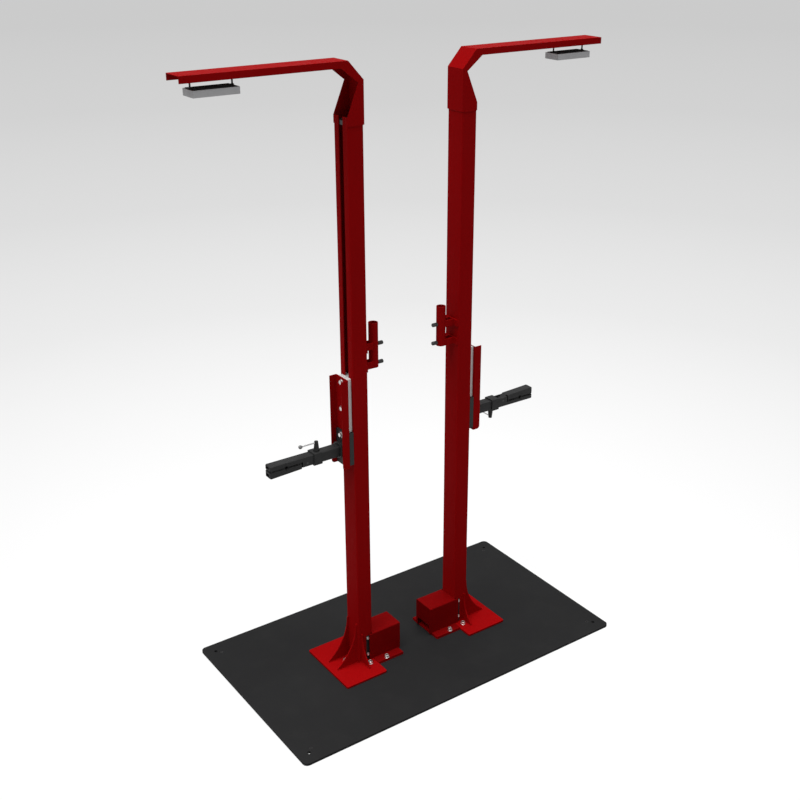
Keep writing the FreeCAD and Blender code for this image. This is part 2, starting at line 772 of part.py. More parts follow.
def moving_jaw():
    axis = clamp_axis_height
    start = root_end + jaw_notch
    top = axis - jaw_split
    low = axis - half_tube - jaw_belly
    tip_low = axis - half_tube - jaw_tip_belly
    bar = side_prism([(start, top), (start, low), (jaw_tip, tip_low), (jaw_tip, top)], -half_tube, half_tube)
    bar = rounded(bar, jaw_tip_corner, Z, lambda p: p.x > jaw_tip - 1)
    bar = rounded(bar, jaw_corner, X, lambda p: p.z < axis - 2 * jaw_split)
    bar = without(bar, [groove(groove_metal_radius + seat_clearance, half_tube + 1), tip_recess(-1)])
    neck = [(pivot_x, pivot_z + pivot_eye_radius / 2), (start + 1, top), (start + 1, low),
            (pivot_x, pivot_z - pivot_eye_radius)]
    eye = cylinder_y(pivot_x, pivot_z, pivot_eye_radius, -tail_half_width, tail_half_width)
    tail = [(stud_x, trunnion_z + tail_half_thickness), (pivot_x, pivot_z + tail_half_thickness),
            (pivot_x, pivot_z - tail_half_thickness), (stud_x, trunnion_z - tail_half_thickness)]
    trunnion = cylinder_y(stud_x, trunnion_z, trunnion_radius, -tail_half_width, tail_half_width)
    whole = fused([bar, side_prism(neck, -tail_half_width, tail_half_width), eye,
                   side_prism(tail, -tail_half_width, tail_half_width), trunnion])
    fork_half = stud_radius + tail_slot_margin
    fork = centred_box(stud_x - 2 * trunnion_radius, stud_x + 2 * stud_radius, fork_half,
                       trunnion_z - 2 * trunnion_radius, trunnion_z + 2 * trunnion_radius)
    pin_hole = cylinder_y(pivot_x, pivot_z, pivot_radius + running_clearance, -tail_half_width - 1,
                          tail_half_width + 1)
    return without(whole, [fork, pin_hole])


def jaw_pivot_pin():
    return cylinder_y(pivot_x, pivot_z, pivot_radius, -half_tube, half_tube)


def jaw_pad(side):
    """The rubber liner of the upper jaw (side 1) or the lower jaw (side -1)."""
    near = clamp_axis_height + side * pad_gap_half
    far = clamp_axis_height + side * jaw_split
    slab = centred_box(jaw_pad_start, jaw_pad_end, jaw_pad_half_width, min(near, far), max(near, far))
    ring = groove(groove_metal_radius, jaw_pad_half_width)
    reach = near + side * groove_metal_radius
    z0, z1 = sorted((near, reach))
    half_space = centred_box(groove_x - groove_metal_radius, groove_x + groove_metal_radius,
                             jaw_pad_half_width, z0, z1)
    return fused([slab, ring.common(half_space)]).cut(groove(groove_radius, half_tube))


def clamp_stud():
    upper_low = trunnion_z + trunnion_radius + body_gap
    stem = cylinder_z(stud_x, 0, stud_radius, stud_low, hub_base + stud_in_hub)
    lower = cylinder_z(stud_x, 0, stud_flange_radius, stud_low, stud_low + stud_flange_thickness)
    upper = cylinder_z(stud_x, 0, stud_flange_radius, upper_low, upper_low + stud_flange_thickness)
    return fused([stem, lower, upper])


def crank():
    flange_high = tube_ceiling - body_gap
    flange_low = flange_high - hub_flange_thickness
    flange = cylinder_z(stud_x, 0, hub_flange_radius, flange_low, flange_high)
    neck = cylinder_z(stud_x, 0, hub_neck_radius, flange_low, hub_base + 1)
    cone = Part.makeCone(hub_base_radius, hub_top_radius, hub_height, Vector(stud_x, 0, hub_base), Z)
    rod = cylinder_x(0, rod_z, crank_rod_radius, stud_x - crank_rod_stub, stud_x + crank_reach)
    bore = cylinder_z(stud_x, 0, stud_radius + body_gap, flange_low - 1, hub_top - hub_cap)
    return fused([flange, neck, cone, rod]).cut(bore)


def crank_ball():
    ball = Part.makeSphere(ball_radius, Vector(stud_x + crank_reach, 0, rod_z))
    socket = cylinder_x(0, rod_z, crank_rod_radius + seat_clearance, stud_x, stud_x + crank_reach)
    return ball.cut(socket)


# Socket on the column's back

def bracket_middles(side):
    return [socket_low[side] + bracket_first + k * bracket_pitch for k in range(bracket_count)]


def socket_tube(side):
    low = socket_low[side]
    tube = cylinder_z(socket_x, 0, socket_radius, low, socket_top)
    bore = cylinder_z(socket_x, 0, socket_radius - socket_wall, low - 1, socket_top + 1)
    start = socket_x - socket_radius - 1
    holes = [cylinder_x(0, z, set_screw_radius + seat_clearance, start, socket_x)
             for z in bracket_middles(side)]
    return without(tube, [bore] + holes)


def set_screws(side):
    face = socket_x - socket_radius
    bore = cylinder_z(socket_x, 0, socket_radius - socket_wall, socket_low[side], socket_top)
    screws = []
    for z in bracket_middles(side):
        shank = cylinder_x(0, z, set_screw_radius, face - set_screw_head_gap - 1, socket_x)
        knob = cylinder_x(0, z, set_screw_head_radius, face - set_screw_reach, face - set_screw_head_gap)
        screws.append(fused([shank.cut(bore), knob]))
    return screws


def socket_brackets(side):
    """A plate on the column's back with two arms that reach to the tube."""
    seat = column_back - seat_clearance
    pieces = []
    for z in bracket_middles(side):
        low, high = z - bracket_height / 2, z + bracket_height / 2
        plate = centred_box(seat - bracket_wall, seat, bracket_half_width, low, high)
        arms = [box(socket_x, seat - 1, bracket_arm_half - bracket_wall, bracket_arm_half, low, high),
                box(socket_x, seat - 1, -bracket_arm_half, bracket_wall - bracket_arm_half, low, high)]
        tube = cylinder_z(socket_x, 0, socket_radius + seat_clearance, low - 1, high + 1)
        pieces.append(fused([plate] + arms).cut(tube))
    return pieces


# Top arm and lamp

def top_arm():
    low = column_top - arm_lap
    bend_z = column_top + arm_bend_rise
    crank_x = arm_back + arm_crank_run
    underside = arm_top_height - arm_depth
    neck = (arm_back + arm_neck_depth, bend_z - arm_neck_drop)
    elbow = (crank_x + arm_elbow_run, underside)
    outline = [(arm_back, low), (column_front, low), (column_front, column_top), neck, elbow,
               (arm_tip, underside), (arm_tip, arm_top_height), (crank_x, arm_top_height), (arm_back, bend_z)]
    solid = side_prism(outline, -arm_half_width, arm_half_width)
    rise = arm_top_height - bend_z
    lower_turn = math.atan2(arm_crank_run, rise)
    upper_turn = math.atan2(rise, arm_crank_run)
    inner_x = arm_back + arm_wall
    inner_bend = bend_z - arm_wall * math.tan(lower_turn / 2)
    inner_crank = crank_x + arm_wall * math.tan(upper_turn / 2)
    inner = [(inner_x, low - 1), (inner_x, inner_bend), (inner_crank, arm_web_bottom),
             (arm_tip + 1, arm_web_bottom), (arm_tip + 1, low - 1)]
    hollow = side_prism(inner, -half_column, half_column)
    return solid.cut(hollow)


def hanger_places():
    middle = (lamp_front + lamp_back) / 2
    run = lamp_length / 2 - hanger_inset - lamp_wall - nut_across / math.sqrt(3)
    return [middle - run, middle + run]


def lamp_housing():
    low = lamp_top - lamp_height
    half = lamp_width / 2
    body = centred_box(lamp_back, lamp_front, half, low, lamp_top)
    body = rounded(body, lamp_corner, Z)
    cavity = centred_box(lamp_back + lamp_wall, lamp_front - lamp_wall, half - lamp_wall, low - 1,
                         lamp_top - lamp_wall)
    cavity = rounded(cavity, lamp_corner - lamp_wall, Z)
    holes = [cylinder_z(x, 0, hanger_radius + seat_clearance, low, lamp_top + 1) for x in hanger_places()]
    return without(body, [cavity] + holes)


def lamp_lens():
    low = lamp_top - lamp_height
    fit = lamp_wall + seat_clearance
    lens = centred_box(lamp_back + fit, lamp_front - fit, lamp_width / 2 - fit, low, low + lens_thickness)
    return rounded(lens, lamp_corner - lamp_wall, Z)


def hex_nut(x, low):
    nut = plan_prism(hexagon(nut_across, x, 0), low, low + nut_height)
    return nut.cut(cylinder_z(x, 0, hanger_radius + seat_clearance, low - 1, low + nut_height + 1))


def lamp_hangers():
    pieces = []
    inside = lamp_top - lamp_wall - nut_height
    for x in hanger_places():
        pieces.append(cylinder_z(x, 0, hanger_radius, inside - 1, arm_web_bottom))
        pieces.append(hex_nut(x, lamp_top))
        pieces.append(hex_nut(x, inside))
    return pieces


# Placing and writing

def placed(shape, side):
    shape = shape.copy()
    shape.rotate(Vector(0, 0, 0), Z, turn[side])
    return shape


def rolled(shape, side):
    shape = shape.copy()
    shape.rotate(Vector(0, 0, clamp_axis_height), X, clamp_roll[side])
    return placed(shape, side)


def cranked(shape, side):
    shape = shape.copy()
    shape.rotate(Vector(stud_x, 0, 0), Z, crank_angle[side])
    return rolled(shape, side)


def write(name, shapes):
    if not isinstance(shapes, list):
        shapes = [shapes]
    solids = [solid for shape in shapes for solid in shape.Solids]
    for solid in solids:
        if not solid.isValid() or solid.Volume <= 0:
            raise ValueError(name + " has a bad solid")
    whole = solids[0] if len(solids) == 1 else Part.makeCompound(solids)
    whole.exportStep("parts/" + name + ".step")
    print(name, len(solids), "solid(s)", round(sum(s.Volume for s in solids) / 1000), "cm3")


single_pieces = {
    "column": column, "top_arm": top_arm, "foot_plate": foot_plate, "drive_cover": drive_cover,
    "gearmotor": gearmotor, "lifting_screw": lifting_screw, "screw_nut": screw_nut,
    "guide_block": guide_block, "slide_pad": slide_pad, "carriage_channel": carriage_channel,
    "carriage_bolts": carriage_bolts, "swivel_block": swivel_block, "swivel_head": swivel_head,
    "lamp_housing": lamp_housing,
}
clamp_pieces = {
    "clamp_arm": clamp_arm, "clamp_rings": clamp_rings, "clamp_collar": clamp_collar,
    "fixed_jaw": fixed_jaw, "fixed_jaw_pad": lambda: jaw_pad(1), "moving_jaw": moving_jaw,
    "moving_jaw_pad": lambda: jaw_pad(-1), "jaw_pivot_pin": jaw_pivot_pin, "clamp_stud": clamp_stud,
}
crank_pieces = {"crank": crank, "crank_ball": crank_ball}
shared_pieces = {
    "foot_ribs": ribs, "foot_bolts": foot_bolts, "screw_bearings": screw_bearings,
    "lamp_hangers": lamp_hangers, "lamp_lenses": lamp_lens,
}
socket_pieces = {
    "socket_tubes": socket_tube, "socket_brackets": socket_brackets, "socket_screws": set_screws,
}


def as_list(made):
    return made if isinstance(made, list) else [made]


def build():
    os.makedirs("parts", exist_ok=True)
    write("base_plate", base_plate())
    write("levelling_screws", levelling_screws())
    for name, make in shared_pieces.items():
        made = as_list(make())
        write(name, [placed(shape, side) for side in stands for shape in made])
    for name, make in socket_pieces.items():
        write(name, [placed(shape, side) for side in stands for shape in as_list(make(side))])
    for group, place in ((single_pieces, placed), (clamp_pieces, rolled), (crank_pieces, cranked)):
        for name, make in group.items():
            made = as_list(make())
            for side in stands:
                write(side + "_" + name, [place(shape, side) for shape in made])


build()
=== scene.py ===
import bpy
import bmesh
import json
import math
from mathutils import Matrix, Vector


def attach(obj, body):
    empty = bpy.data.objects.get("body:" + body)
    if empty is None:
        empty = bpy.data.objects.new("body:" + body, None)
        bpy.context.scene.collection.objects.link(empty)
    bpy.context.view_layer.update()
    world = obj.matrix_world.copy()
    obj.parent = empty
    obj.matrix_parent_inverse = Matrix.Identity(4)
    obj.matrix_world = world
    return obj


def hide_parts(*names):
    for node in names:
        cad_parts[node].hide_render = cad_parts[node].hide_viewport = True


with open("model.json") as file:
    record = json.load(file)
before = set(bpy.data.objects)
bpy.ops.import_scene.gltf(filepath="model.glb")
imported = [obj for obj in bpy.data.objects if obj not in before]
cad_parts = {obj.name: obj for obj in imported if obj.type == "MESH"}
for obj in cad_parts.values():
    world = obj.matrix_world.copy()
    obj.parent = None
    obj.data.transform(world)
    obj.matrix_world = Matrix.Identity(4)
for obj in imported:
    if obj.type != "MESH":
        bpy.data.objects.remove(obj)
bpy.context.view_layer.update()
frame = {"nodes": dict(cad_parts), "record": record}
nodes = frame["nodes"]
slotOf = {part["node"]: part["material_slot"] for part in frame["record"]["subparts"]}
bodyOf = {node: body for body, members in frame["record"]["behaviour"]["bodies"].items() for node in members}
stands = {"left": -1, "right": 1}   # which way each stand faces along X
print("stage: frame loaded,", len(nodes), "nodes")

# Camera at the photograph's view. Turn and tilt in degrees, the frame is taken as 800 by 800.
cameraView = {
    "place": (-2.3297, -3.3191, 2.9018), "turn": -35.834, "tilt": 23.887, "roll": 0.211,
    "lens": 52.19, "shift": (-0.02754, -0.00241),
}


def linked(name, data):
    # an object of this mesh, lamp or camera, in the scene
    made = bpy.data.objects.new(name, data)
    bpy.context.scene.collection.objects.link(made)
    return made


def makeCamera(view):
    turn, tilt, roll = (math.radians(view[key]) for key in ("turn", "tilt", "roll"))
    back = Vector((math.sin(turn) * math.cos(tilt), -math.cos(turn) * math.cos(tilt), math.sin(tilt)))
    right = (-back).cross(Vector((0, 0, 1))).normalized()
    up = right.cross(-back)
    across = right * math.cos(roll) + up * math.sin(roll)
    upright = up * math.cos(roll) - right * math.sin(roll)
    data = bpy.data.cameras.new("standCamera")
    data.lens = view["lens"]
    data.sensor_width = 36
    data.shift_x, data.shift_y = view["shift"]
    data.clip_end = 200
    camera = linked("standCamera", data)
    rows = Matrix((across, upright, back)).transposed().to_4x4()
    rows.translation = Vector(view["place"])
    camera.matrix_world = rows
    bpy.context.scene.camera = camera


makeCamera(cameraView)
bpy.context.scene.view_settings.view_transform = "Standard"
print("stage: camera placed")


# Node trees

class Wire:
    # a socket that can be used in sums: each operation adds a Math node to its tree
    def __init__(self, graph, socket):
        self.graph = graph
        self.socket = socket

    def __add__(self, other):
        return self.graph.math("ADD", self, other)

    def __sub__(self, other):
        return self.graph.math("SUBTRACT", self, other)

    def __rsub__(self, other):
        return self.graph.math("SUBTRACT", other, self)

    def __mul__(self, other):
        return self.graph.math("MULTIPLY", self, other)

    def __truediv__(self, other):
        return self.graph.math("DIVIDE", self, other)

    def __rtruediv__(self, other):
        return self.graph.math("DIVIDE", other, self)

    __radd__ = __add__
    __rmul__ = __mul__


class Graph:
    def __init__(self, tree):
        self.tree = tree

    def feed(self, socket, value):
        if isinstance(value, Wire):
            self.tree.links.new(value.socket, socket)
        else:
            socket.default_value = value

    def node(self, kind, settings=None, inputs=None, output=0):
        made = self.tree.nodes.new(kind)
        for key, setting in (settings or {}).items():
            if key == "stops":
                self.setStops(made.color_ramp, setting)
            else:
                setattr(made, key, setting)
        for key, value in (inputs or {}).items():
            self.feed(made.inputs[key], value)
        return Wire(self, made.outputs[output])

    def setStops(self, ramp, stops):
        while len(ramp.elements) < len(stops):
            ramp.elements.new(1.0)
        for element, (place, colour) in zip(ramp.elements, stops):
            element.position = place
            element.color = colour

    def math(self, operation, first, second=0.0):
        return self.node("ShaderNodeMath", {"operation": operation}, {0: first, 1: second})

    def looking(self):
        # 1 on rays that reach the camera straight, mirrored or through a clear piece, 0 on all others
        rays = [self.node("ShaderNodeLightPath", output=key)
                for key in ("Is Camera Ray", "Is Glossy Ray", "Is Transmission Ray")]
        return self.math("MINIMUM", rays[0] + rays[1] + rays[2], 1.0)


class Finish(Graph):
    def __init__(self, name):
        self.material = bpy.data.materials.new(name)
        self.material.use_nodes = True
        super().__init__(self.material.node_tree)
        self.shader = self.tree.nodes["Principled BSDF"]
        self.place = self.node("ShaderNodeTexCoord", output="Object")

    def set(self, **values):
        for key, value in values.items():
            self.feed(self.shader.inputs[key.replace("_", " ")], value)

    def noise(self, scale, detail=3.0, place=None):
        return self.node("ShaderNodeTexNoise", None,
                         {"Vector": place or self.place, "Scale": scale, "Detail": detail, "Roughness": 0.55})

    def stretched(self, factors):
        return self.node("ShaderNodeMapping", None, {"Vector": self.place, "Scale": factors})

    def between(self, value, low, high):
        # 0 below low, 1 above high
        return self.node("ShaderNodeMapRange", {"clamp": True}, {0: value, 1: low, 2: high, 3: 0.0, 4: 1.0})

    def mixed(self, factor, first, second):
        return self.node("ShaderNodeMix", {"data_type": "RGBA"}, {0: factor, 6: first, 7: second}, 2)

    def edges(self, radius, gain):
        # high where the surface turns a corner: the finishes lighten their edges with it, partly as wear and
        # partly as a painted edge highlight
        soft = self.node("ShaderNodeBevel", {"samples": 6}, {"Radius": radius})
        flat = self.node("ShaderNodeNewGeometry", output="Normal")
        same = self.node("ShaderNodeVectorMath", {"operation": "DOT_PRODUCT"}, {0: soft, 1: flat}, "Value")
        return self.between((1.0 - same) * gain, 0.0, 1.0)

    def bump(self, height, strength, distance):
        return self.node("ShaderNodeBump", None,
                         {"Height": height, "Strength": strength, "Distance": distance})


class Recipe(Graph):
    # a geometry tree: its sizes are named inputs, and it ends in Realize Instances and Set Material
    def __init__(self, name, finish, sizes):
        super().__init__(bpy.data.node_groups.new(name, "GeometryNodeTree"))
        self.finish = finish
        self.values = {}
        sockets = self.tree.interface
        sockets.new_socket("Geometry", in_out="INPUT", socket_type="NodeSocketGeometry")
        sockets.new_socket("Geometry", in_out="OUTPUT", socket_type="NodeSocketGeometry")
        kinds = {int: "NodeSocketInt", float: "NodeSocketFloat"}
        for key, value in sizes.items():
            kind = kinds.get(type(value), "NodeSocketObject")
            socket = sockets.new_socket(key, in_out="INPUT", socket_type=kind)
            self.values[socket.identifier] = value
        self.inlet = self.tree.nodes.new("NodeGroupInput")

    def given(self, key):
        return Wire(self, self.inlet.outputs[key])

    def end(self, geometry):
        joined = self.node("GeometryNodeRealizeInstances", None, {0: geometry})
        painted = self.node("GeometryNodeSetMaterial", None, {0: joined, 2: self.finish})
        outlet = self.tree.nodes.new("NodeGroupOutput")
        self.feed(outlet.inputs[0], painted)

    def grown(self, mesh):
        holder = linked("holder", mesh)
        growth = holder.modifiers.new("growth", "NODES")
        growth.node_group = self.tree
        for key, value in self.values.items():
            growth[key] = value
        return plainMesh(holder)


def shade(red, green=None, blue=None):
    return (red, red if green is None else green, red if blue is None else blue, 1.0)


# Painted sheet and castings: two close tones, dust, fine texture with specks, lighter edges that are partly
# wear and partly a painted edge highlight
def paintFinish(name, look):
    finish = Finish(name)
    tone = finish.mixed(finish.between(finish.noise(look["patchScale"], 2.0), *look["patches"]),
                        look["colour"], look["secondColour"])
    edge = finish.edges(look["edgeRadius"], look["edgeGain"])
    # lighter edges in noisy patches: partly wear, partly a painted edge highlight
    wornAndHighlitEdges = edge * finish.between(finish.noise(look["wornScale"], 4.0), *look["wearing"]) * look["edgeShare"]
    dust = finish.between(finish.noise(look["dustScale"], 5.0), *look["dusty"]) * look["dustShare"]
    colour = finish.mixed(wornAndHighlitEdges, tone, look["edgeColour"])
    colour = finish.mixed(dust, colour, look["dustColour"])
    texture = finish.noise(look["textureScale"], 2.0)
    specks = finish.between(texture, *look["speckled"]) * look["speckShare"]
    rough = finish.noise(look["roughScale"], 3.0) * look["roughSpread"] + wornAndHighlitEdges * look["wornRough"]
    finish.set(Base_Color=finish.mixed(specks, colour, look["edgeColour"]),
               Roughness=look["roughness"] + rough, Specular_IOR_Level=look["specular"],
               Normal=finish.bump(texture, look["textureStrength"], look["textureDepth"]))
    return finish.material


paintLook = {
    "patches": (0.35, 0.65), "edgeGain": 3.0,
    "wornScale": 70.0, "wearing": (0.42, 0.66), "wornRough": 0.15,
    "dustScale": 9.0, "dusty": (0.5, 0.8), "speckled": (0.5, 0.7),
    "roughScale": 22.0, "roughSpread": 0.12,
}
redPaintLook = dict(
    paintLook, colour=shade(0.36, 0.0025, 0.0035), secondColour=shade(0.335, 0.002, 0.003),
    edgeColour=shade(0.52, 0.015, 0.015), dustColour=shade(0.33, 0.007, 0.007),
    patchScale=2.2, edgeRadius=0.0016, edgeShare=0.7, dustShare=0.25, speckShare=0.22,
    roughness=0.50, specular=0.015,
    textureScale=520.0, textureStrength=0.10, textureDepth=0.0004,
)
# A darker copy of the red paint for the drive covers: painted shade, standing in for the shade that lies on
# the covers
shadedCoverPaintLook = dict(
    redPaintLook, colour=shade(0.215, 0.0018, 0.0025),
    secondColour=shade(0.20, 0.0015, 0.002), edgeColour=shade(0.36, 0.01, 0.01),
)
platePaintLook = dict(
    paintLook, colour=shade(0.022, 0.022, 0.0225),
    secondColour=shade(0.0185, 0.0185, 0.019), edgeColour=shade(0.09),
    dustColour=shade(0.05, 0.049, 0.047),
    patchScale=1.6, edgeRadius=0.0018, edgeShare=0.6, dustShare=0.10, speckShare=0.12,
    roughness=0.62, specular=0.05,
    textureScale=700.0, textureStrength=0.25, textureDepth=0.0006,
)
motorPaintLook = dict(
    platePaintLook, colour=shade(0.05, 0.05, 0.055),
    secondColour=shade(0.042, 0.042, 0.046), roughness=0.5, specular=0.3,
    textureScale=260.0,
)
blackMetalLook = dict(
    platePaintLook, colour=shade(0.024, 0.0235, 0.0245),
    secondColour=shade(0.020, 0.020, 0.0205), edgeColour=shade(0.12), edgeShare=0.5,
    dustShare=0.04, roughness=0.46, specular=0.2,
)
crankMetalLook = dict(
    blackMetalLook, colour=shade(0.022), secondColour=shade(0.018), roughness=0.34,
    patchScale=30.0,
)
lampFixingsLook = dict(blackMetalLook, colour=shade(0.03), secondColour=shade(0.024))


# Bare metals: fine lines along one axis, smudges in tone and roughness
def metalFinish(name, look):
    finish = Finish(name)
    lines = finish.noise(look["lineScale"], 2.0, finish.stretched(look["lineStretch"]))
    smudge = finish.noise(look["smudgeScale"], 4.0)
    tone = finish.mixed(finish.between(smudge, *look["smudged"]), look["colour"], look["secondColour"])
    finish.set(Base_Color=tone, Metallic=look["metallic"],
               Roughness=look["roughness"] + (smudge - 0.5) * look["roughSpread"] + lines * look["lineRough"],
               Normal=finish.bump(lines, look["lineStrength"], look["lineDepth"]))
    return finish.material


zincLook = {
    "colour": shade(0.86, 0.85, 0.83), "secondColour": shade(0.72, 0.72, 0.71), "metallic": 1.0,
    "roughness": 0.30, "roughSpread": 0.2, "smudgeScale": 160.0, "smudged": (0.3, 0.7),
    "lineScale": 900.0, "lineStretch": (1.0, 1.0, 0.2), "lineRough": 0.08, "lineStrength": 0.06,
    "lineDepth": 0.0003,
}
screwSteelLook = dict(
    zincLook, colour=shade(0.55, 0.55, 0.56), secondColour=shade(0.44, 0.43, 0.43),
    smudgeScale=40.0, roughness=0.26,
)
# the bearings' steel is made nearly black so that they stay dark in the slot's top: painted shade
shadeDarkBearingLook = dict(
    zincLook, colour=shade(0.07), secondColour=shade(0.05), metallic=0.7,
    smudgeScale=60.0,
)
nutBronzeLook = dict(
    zincLook, colour=shade(0.62, 0.42, 0.18), secondColour=shade(0.50, 0.33, 0.15),
    smudgeScale=50.0, roughness=0.34,
)
darkScrewsLook = dict(zincLook, colour=shade(0.055), secondColour=shade(0.04), metallic=0.6, roughness=0.38)
lampAlloyLook = dict(
    zincLook, colour=shade(0.50, 0.50, 0.51), secondColour=shade(0.45, 0.45, 0.46),
    metallic=0.35, roughness=0.42, smudgeScale=25.0, lineStretch=(0.1, 1.0, 1.0),
)


# Plastics and rubber: fine grain, a slight mottle, paler edges that are partly rubbing and partly a painted
# edge highlight
def plasticFinish(name, look):
    finish = Finish(name)
    mottle = finish.noise(look["mottleScale"], 4.0)
    grain = finish.noise(look["grainScale"], 2.0)
    tone = finish.mixed(finish.between(mottle, *look["mottled"]), look["colour"], look["secondColour"])
    # paler on every edge: partly rubbing, partly a painted edge highlight
    rubbedAndHighlitEdges = finish.edges(look["edgeRadius"], look["edgeGain"]) * look["edgeShare"]
    finish.set(Base_Color=finish.mixed(rubbedAndHighlitEdges, tone, look["edgeColour"]),
               Roughness=look["roughness"] + (grain - 0.5) * look["roughSpread"],
               Specular_IOR_Level=look["specular"],
               Normal=finish.bump(grain, look["grainStrength"], look["grainDepth"]))
    return finish.material


jawPlasticLook = {
    "colour": shade(0.025, 0.025, 0.026), "secondColour": shade(0.020),
    "mottleScale": 45.0, "mottled": (0.3, 0.7),
    "grainScale": 900.0, "grainStrength": 0.3, "grainDepth": 0.0004,
    "edgeColour": shade(0.08), "edgeRadius": 0.0014, "edgeGain": 3.0, "edgeShare": 0.5,
    "roughness": 0.50, "roughSpread": 0.15, "specular": 0.2,
}
blackPlasticLook = dict(
    jawPlasticLook, colour=shade(0.022), secondColour=shade(0.017), roughness=0.5,
    specular=0.25,
)
jawRubberLook = dict(
    jawPlasticLook, colour=shade(0.030), secondColour=shade(0.020), roughness=0.78,
    specular=0.15, grainScale=500.0, grainStrength=0.5,
)
whitePlasticLook = dict(
    jawPlasticLook, colour=shade(0.90, 0.90, 0.89), secondColour=shade(0.87, 0.87, 0.86),
    edgeColour=shade(0.93), roughness=0.42, specular=0.35, grainStrength=0.12,
)
guidePlasticLook = dict(
    whitePlasticLook, colour=shade(0.60, 0.60, 0.58),
    secondColour=shade(0.55, 0.55, 0.53),
)
ballPlasticLook = dict(
    whitePlasticLook, colour=shade(0.24), secondColour=shade(0.20), roughness=0.25,
    specular=0.5, grainStrength=0.04,
)


# Opal lamp cover with a faint print of the light strips behind it
def lensFinish(name, look):
    finish = Finish(name)
    rows = finish.node("ShaderNodeTexWave", {"wave_type": "BANDS", "bands_direction": "Y"},
                       {"Vector": finish.place, "Scale": look["rowScale"], "Distortion": 0.0}, 1)
    soft = finish.noise(look["softScale"], 2.0) * look["softShare"]
    tone = finish.mixed(finish.between(rows + soft, *look["printed"]), look["colour"], look["secondColour"])
    finish.set(Base_Color=tone, Specular_IOR_Level=look["specular"],
               Roughness=look["roughness"] + finish.noise(look["roughScale"]) * look["roughSpread"],
               Normal=finish.bump(finish.noise(look["grainScale"], 1.0), look["grainStrength"],
                                  look["grainDepth"]))
    return finish.material


lensLook = {
    "colour": shade(0.80, 0.81, 0.81), "secondColour": shade(0.68, 0.69, 0.69), "rowScale": 22.0,
    "softScale": 40.0, "softShare": 0.2, "printed": (0.4, 1.0), "specular": 0.5,
    "roughness": 0.3, "roughScale": 300.0, "roughSpread": 0.08,
    "grainScale": 1200.0, "grainStrength": 0.2, "grainDepth": 0.0002,
}

finishes = {
    "red_paint": paintFinish("redPaint", redPaintLook),
    "shaded_cover_paint": paintFinish("coverPaint", shadedCoverPaintLook),
    "plate_paint": paintFinish("platePaint", platePaintLook),
    "motor_paint": paintFinish("motorPaint", motorPaintLook),
    "black_metal": paintFinish("blackMetal", blackMetalLook),
    "crank_metal": paintFinish("crankMetal", crankMetalLook),
    "lamp_fixings": paintFinish("lampFixings", lampFixingsLook),
    "zinc": metalFinish("zincPlating", zincLook),
    "screw_steel": metalFinish("screwSteel", screwSteelLook),
    "bearing_steel": metalFinish("bearingSteel", shadeDarkBearingLook),
    "nut_bronze": metalFinish("nutBronze", nutBronzeLook),
    "dark_screws": metalFinish("darkScrews", darkScrewsLook),
    "lamp_alloy": metalFinish("lampAlloy", lampAlloyLook),
    "jaw_plastic": plasticFinish("jawPlastic", jawPlasticLook),
    "black_plastic": plasticFinish("blackPlastic", blackPlasticLook),
    "jaw_rubber": plasticFinish("jawRubber", jawRubberLook),
    "white_plastic": plasticFinish("whitePlastic", whitePlasticLook),
    "guide_plastic": plasticFinish("guidePlastic", guidePlasticLook),
    "ball_plastic": plasticFinish("ballPlastic", ballPlasticLook),
    "lamp_lens": lensFinish("opalLens", lensLook),
}
print("stage: finishes made,", len(finishes))

for nodeName, piece in nodes.items():
    finish = finishes[slotOf[nodeName]]
    if not piece.material_slots:
        piece.data.materials.append(finish)
    for slot in piece.material_slots:
        slot.material = finish


# Pieces

def addPiece(name, mesh, body, slot, *stoodFor):
    piece = linked(name, mesh)
    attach(piece, body)
    if stoodFor:
        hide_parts(*stoodFor)


def plainMesh(holder):
    # the evaluated result as a mesh of its own; the holder goes
    bpy.context.view_layer.update()
    shown = holder.evaluated_get(bpy.context.evaluated_depsgraph_get())
    mesh = bpy.data.meshes.new_from_object(shown)
    holder.modifiers.clear()
    bpy.data.objects.remove(holder)
    return mesh


# Sheet, bar and moulded pieces get their broken edges: width in metres by node, angles in degrees
easedEdges = {
    "base_plate": 0.0010, "column": 0.0006, "top_arm": 0.0006, "foot_plate": 0.0010, "drive_cover": 0.0006,
    "foot_ribs": 0.0008, "carriage_channel": 0.0006, "slide_pad": 0.0006, "swivel_block": 0.0006,
    "swivel_head": 0.0008, "socket_brackets": 0.0006, "socket_tubes": 0.0006, "clamp_arm": 0.0005,
    "clamp_collar": 0.0004, "clamp_rings": 0.0004, "lamp_housing": 0.0006, "fixed_jaw": 0.0008,
    "moving_jaw": 0.0008,
}
easeLook = {"steps": 2, "sharpFrom": 32, "flatUnder": 0.4, "samePoint": 2e-6}


def smoothed(shape, sharpFrom):
    for face in shape.faces:
        face.smooth = True
    for edge in shape.edges:
        edge.smooth = edge.calc_face_angle(0.0) < math.radians(sharpFrom)


def meshFrom(shape, name, finish=None):
    # the edited shape as a mesh; the shape goes
    mesh = bpy.data.meshes.new(name)
    shape.to_mesh(mesh)
    shape.free()
    if finish:
        mesh.materials.append(finish)
    return mesh


def easedMesh(node, width, finish):
    look = easeLook
    shape = bmesh.new()
    shape.from_mesh(nodes[node].data)
    bmesh.ops.remove_doubles(shape, verts=shape.verts, dist=look["samePoint"])
    bmesh.ops.dissolve_limit(shape, angle_limit=math.radians(look["flatUnder"]), verts=shape.verts,
                             edges=shape.edges)
    smoothed(shape, look["sharpFrom"])
    holder = linked("holder", meshFrom(shape, node, finish))
    ease = holder.modifiers.new("ease", "BEVEL")
    ease.width = width
    ease.segments = look["steps"]
    ease.limit_method = "ANGLE"
    ease.angle_limit = math.radians(look["sharpFrom"])
    ease.harden_normals = True
    return plainMesh(holder)


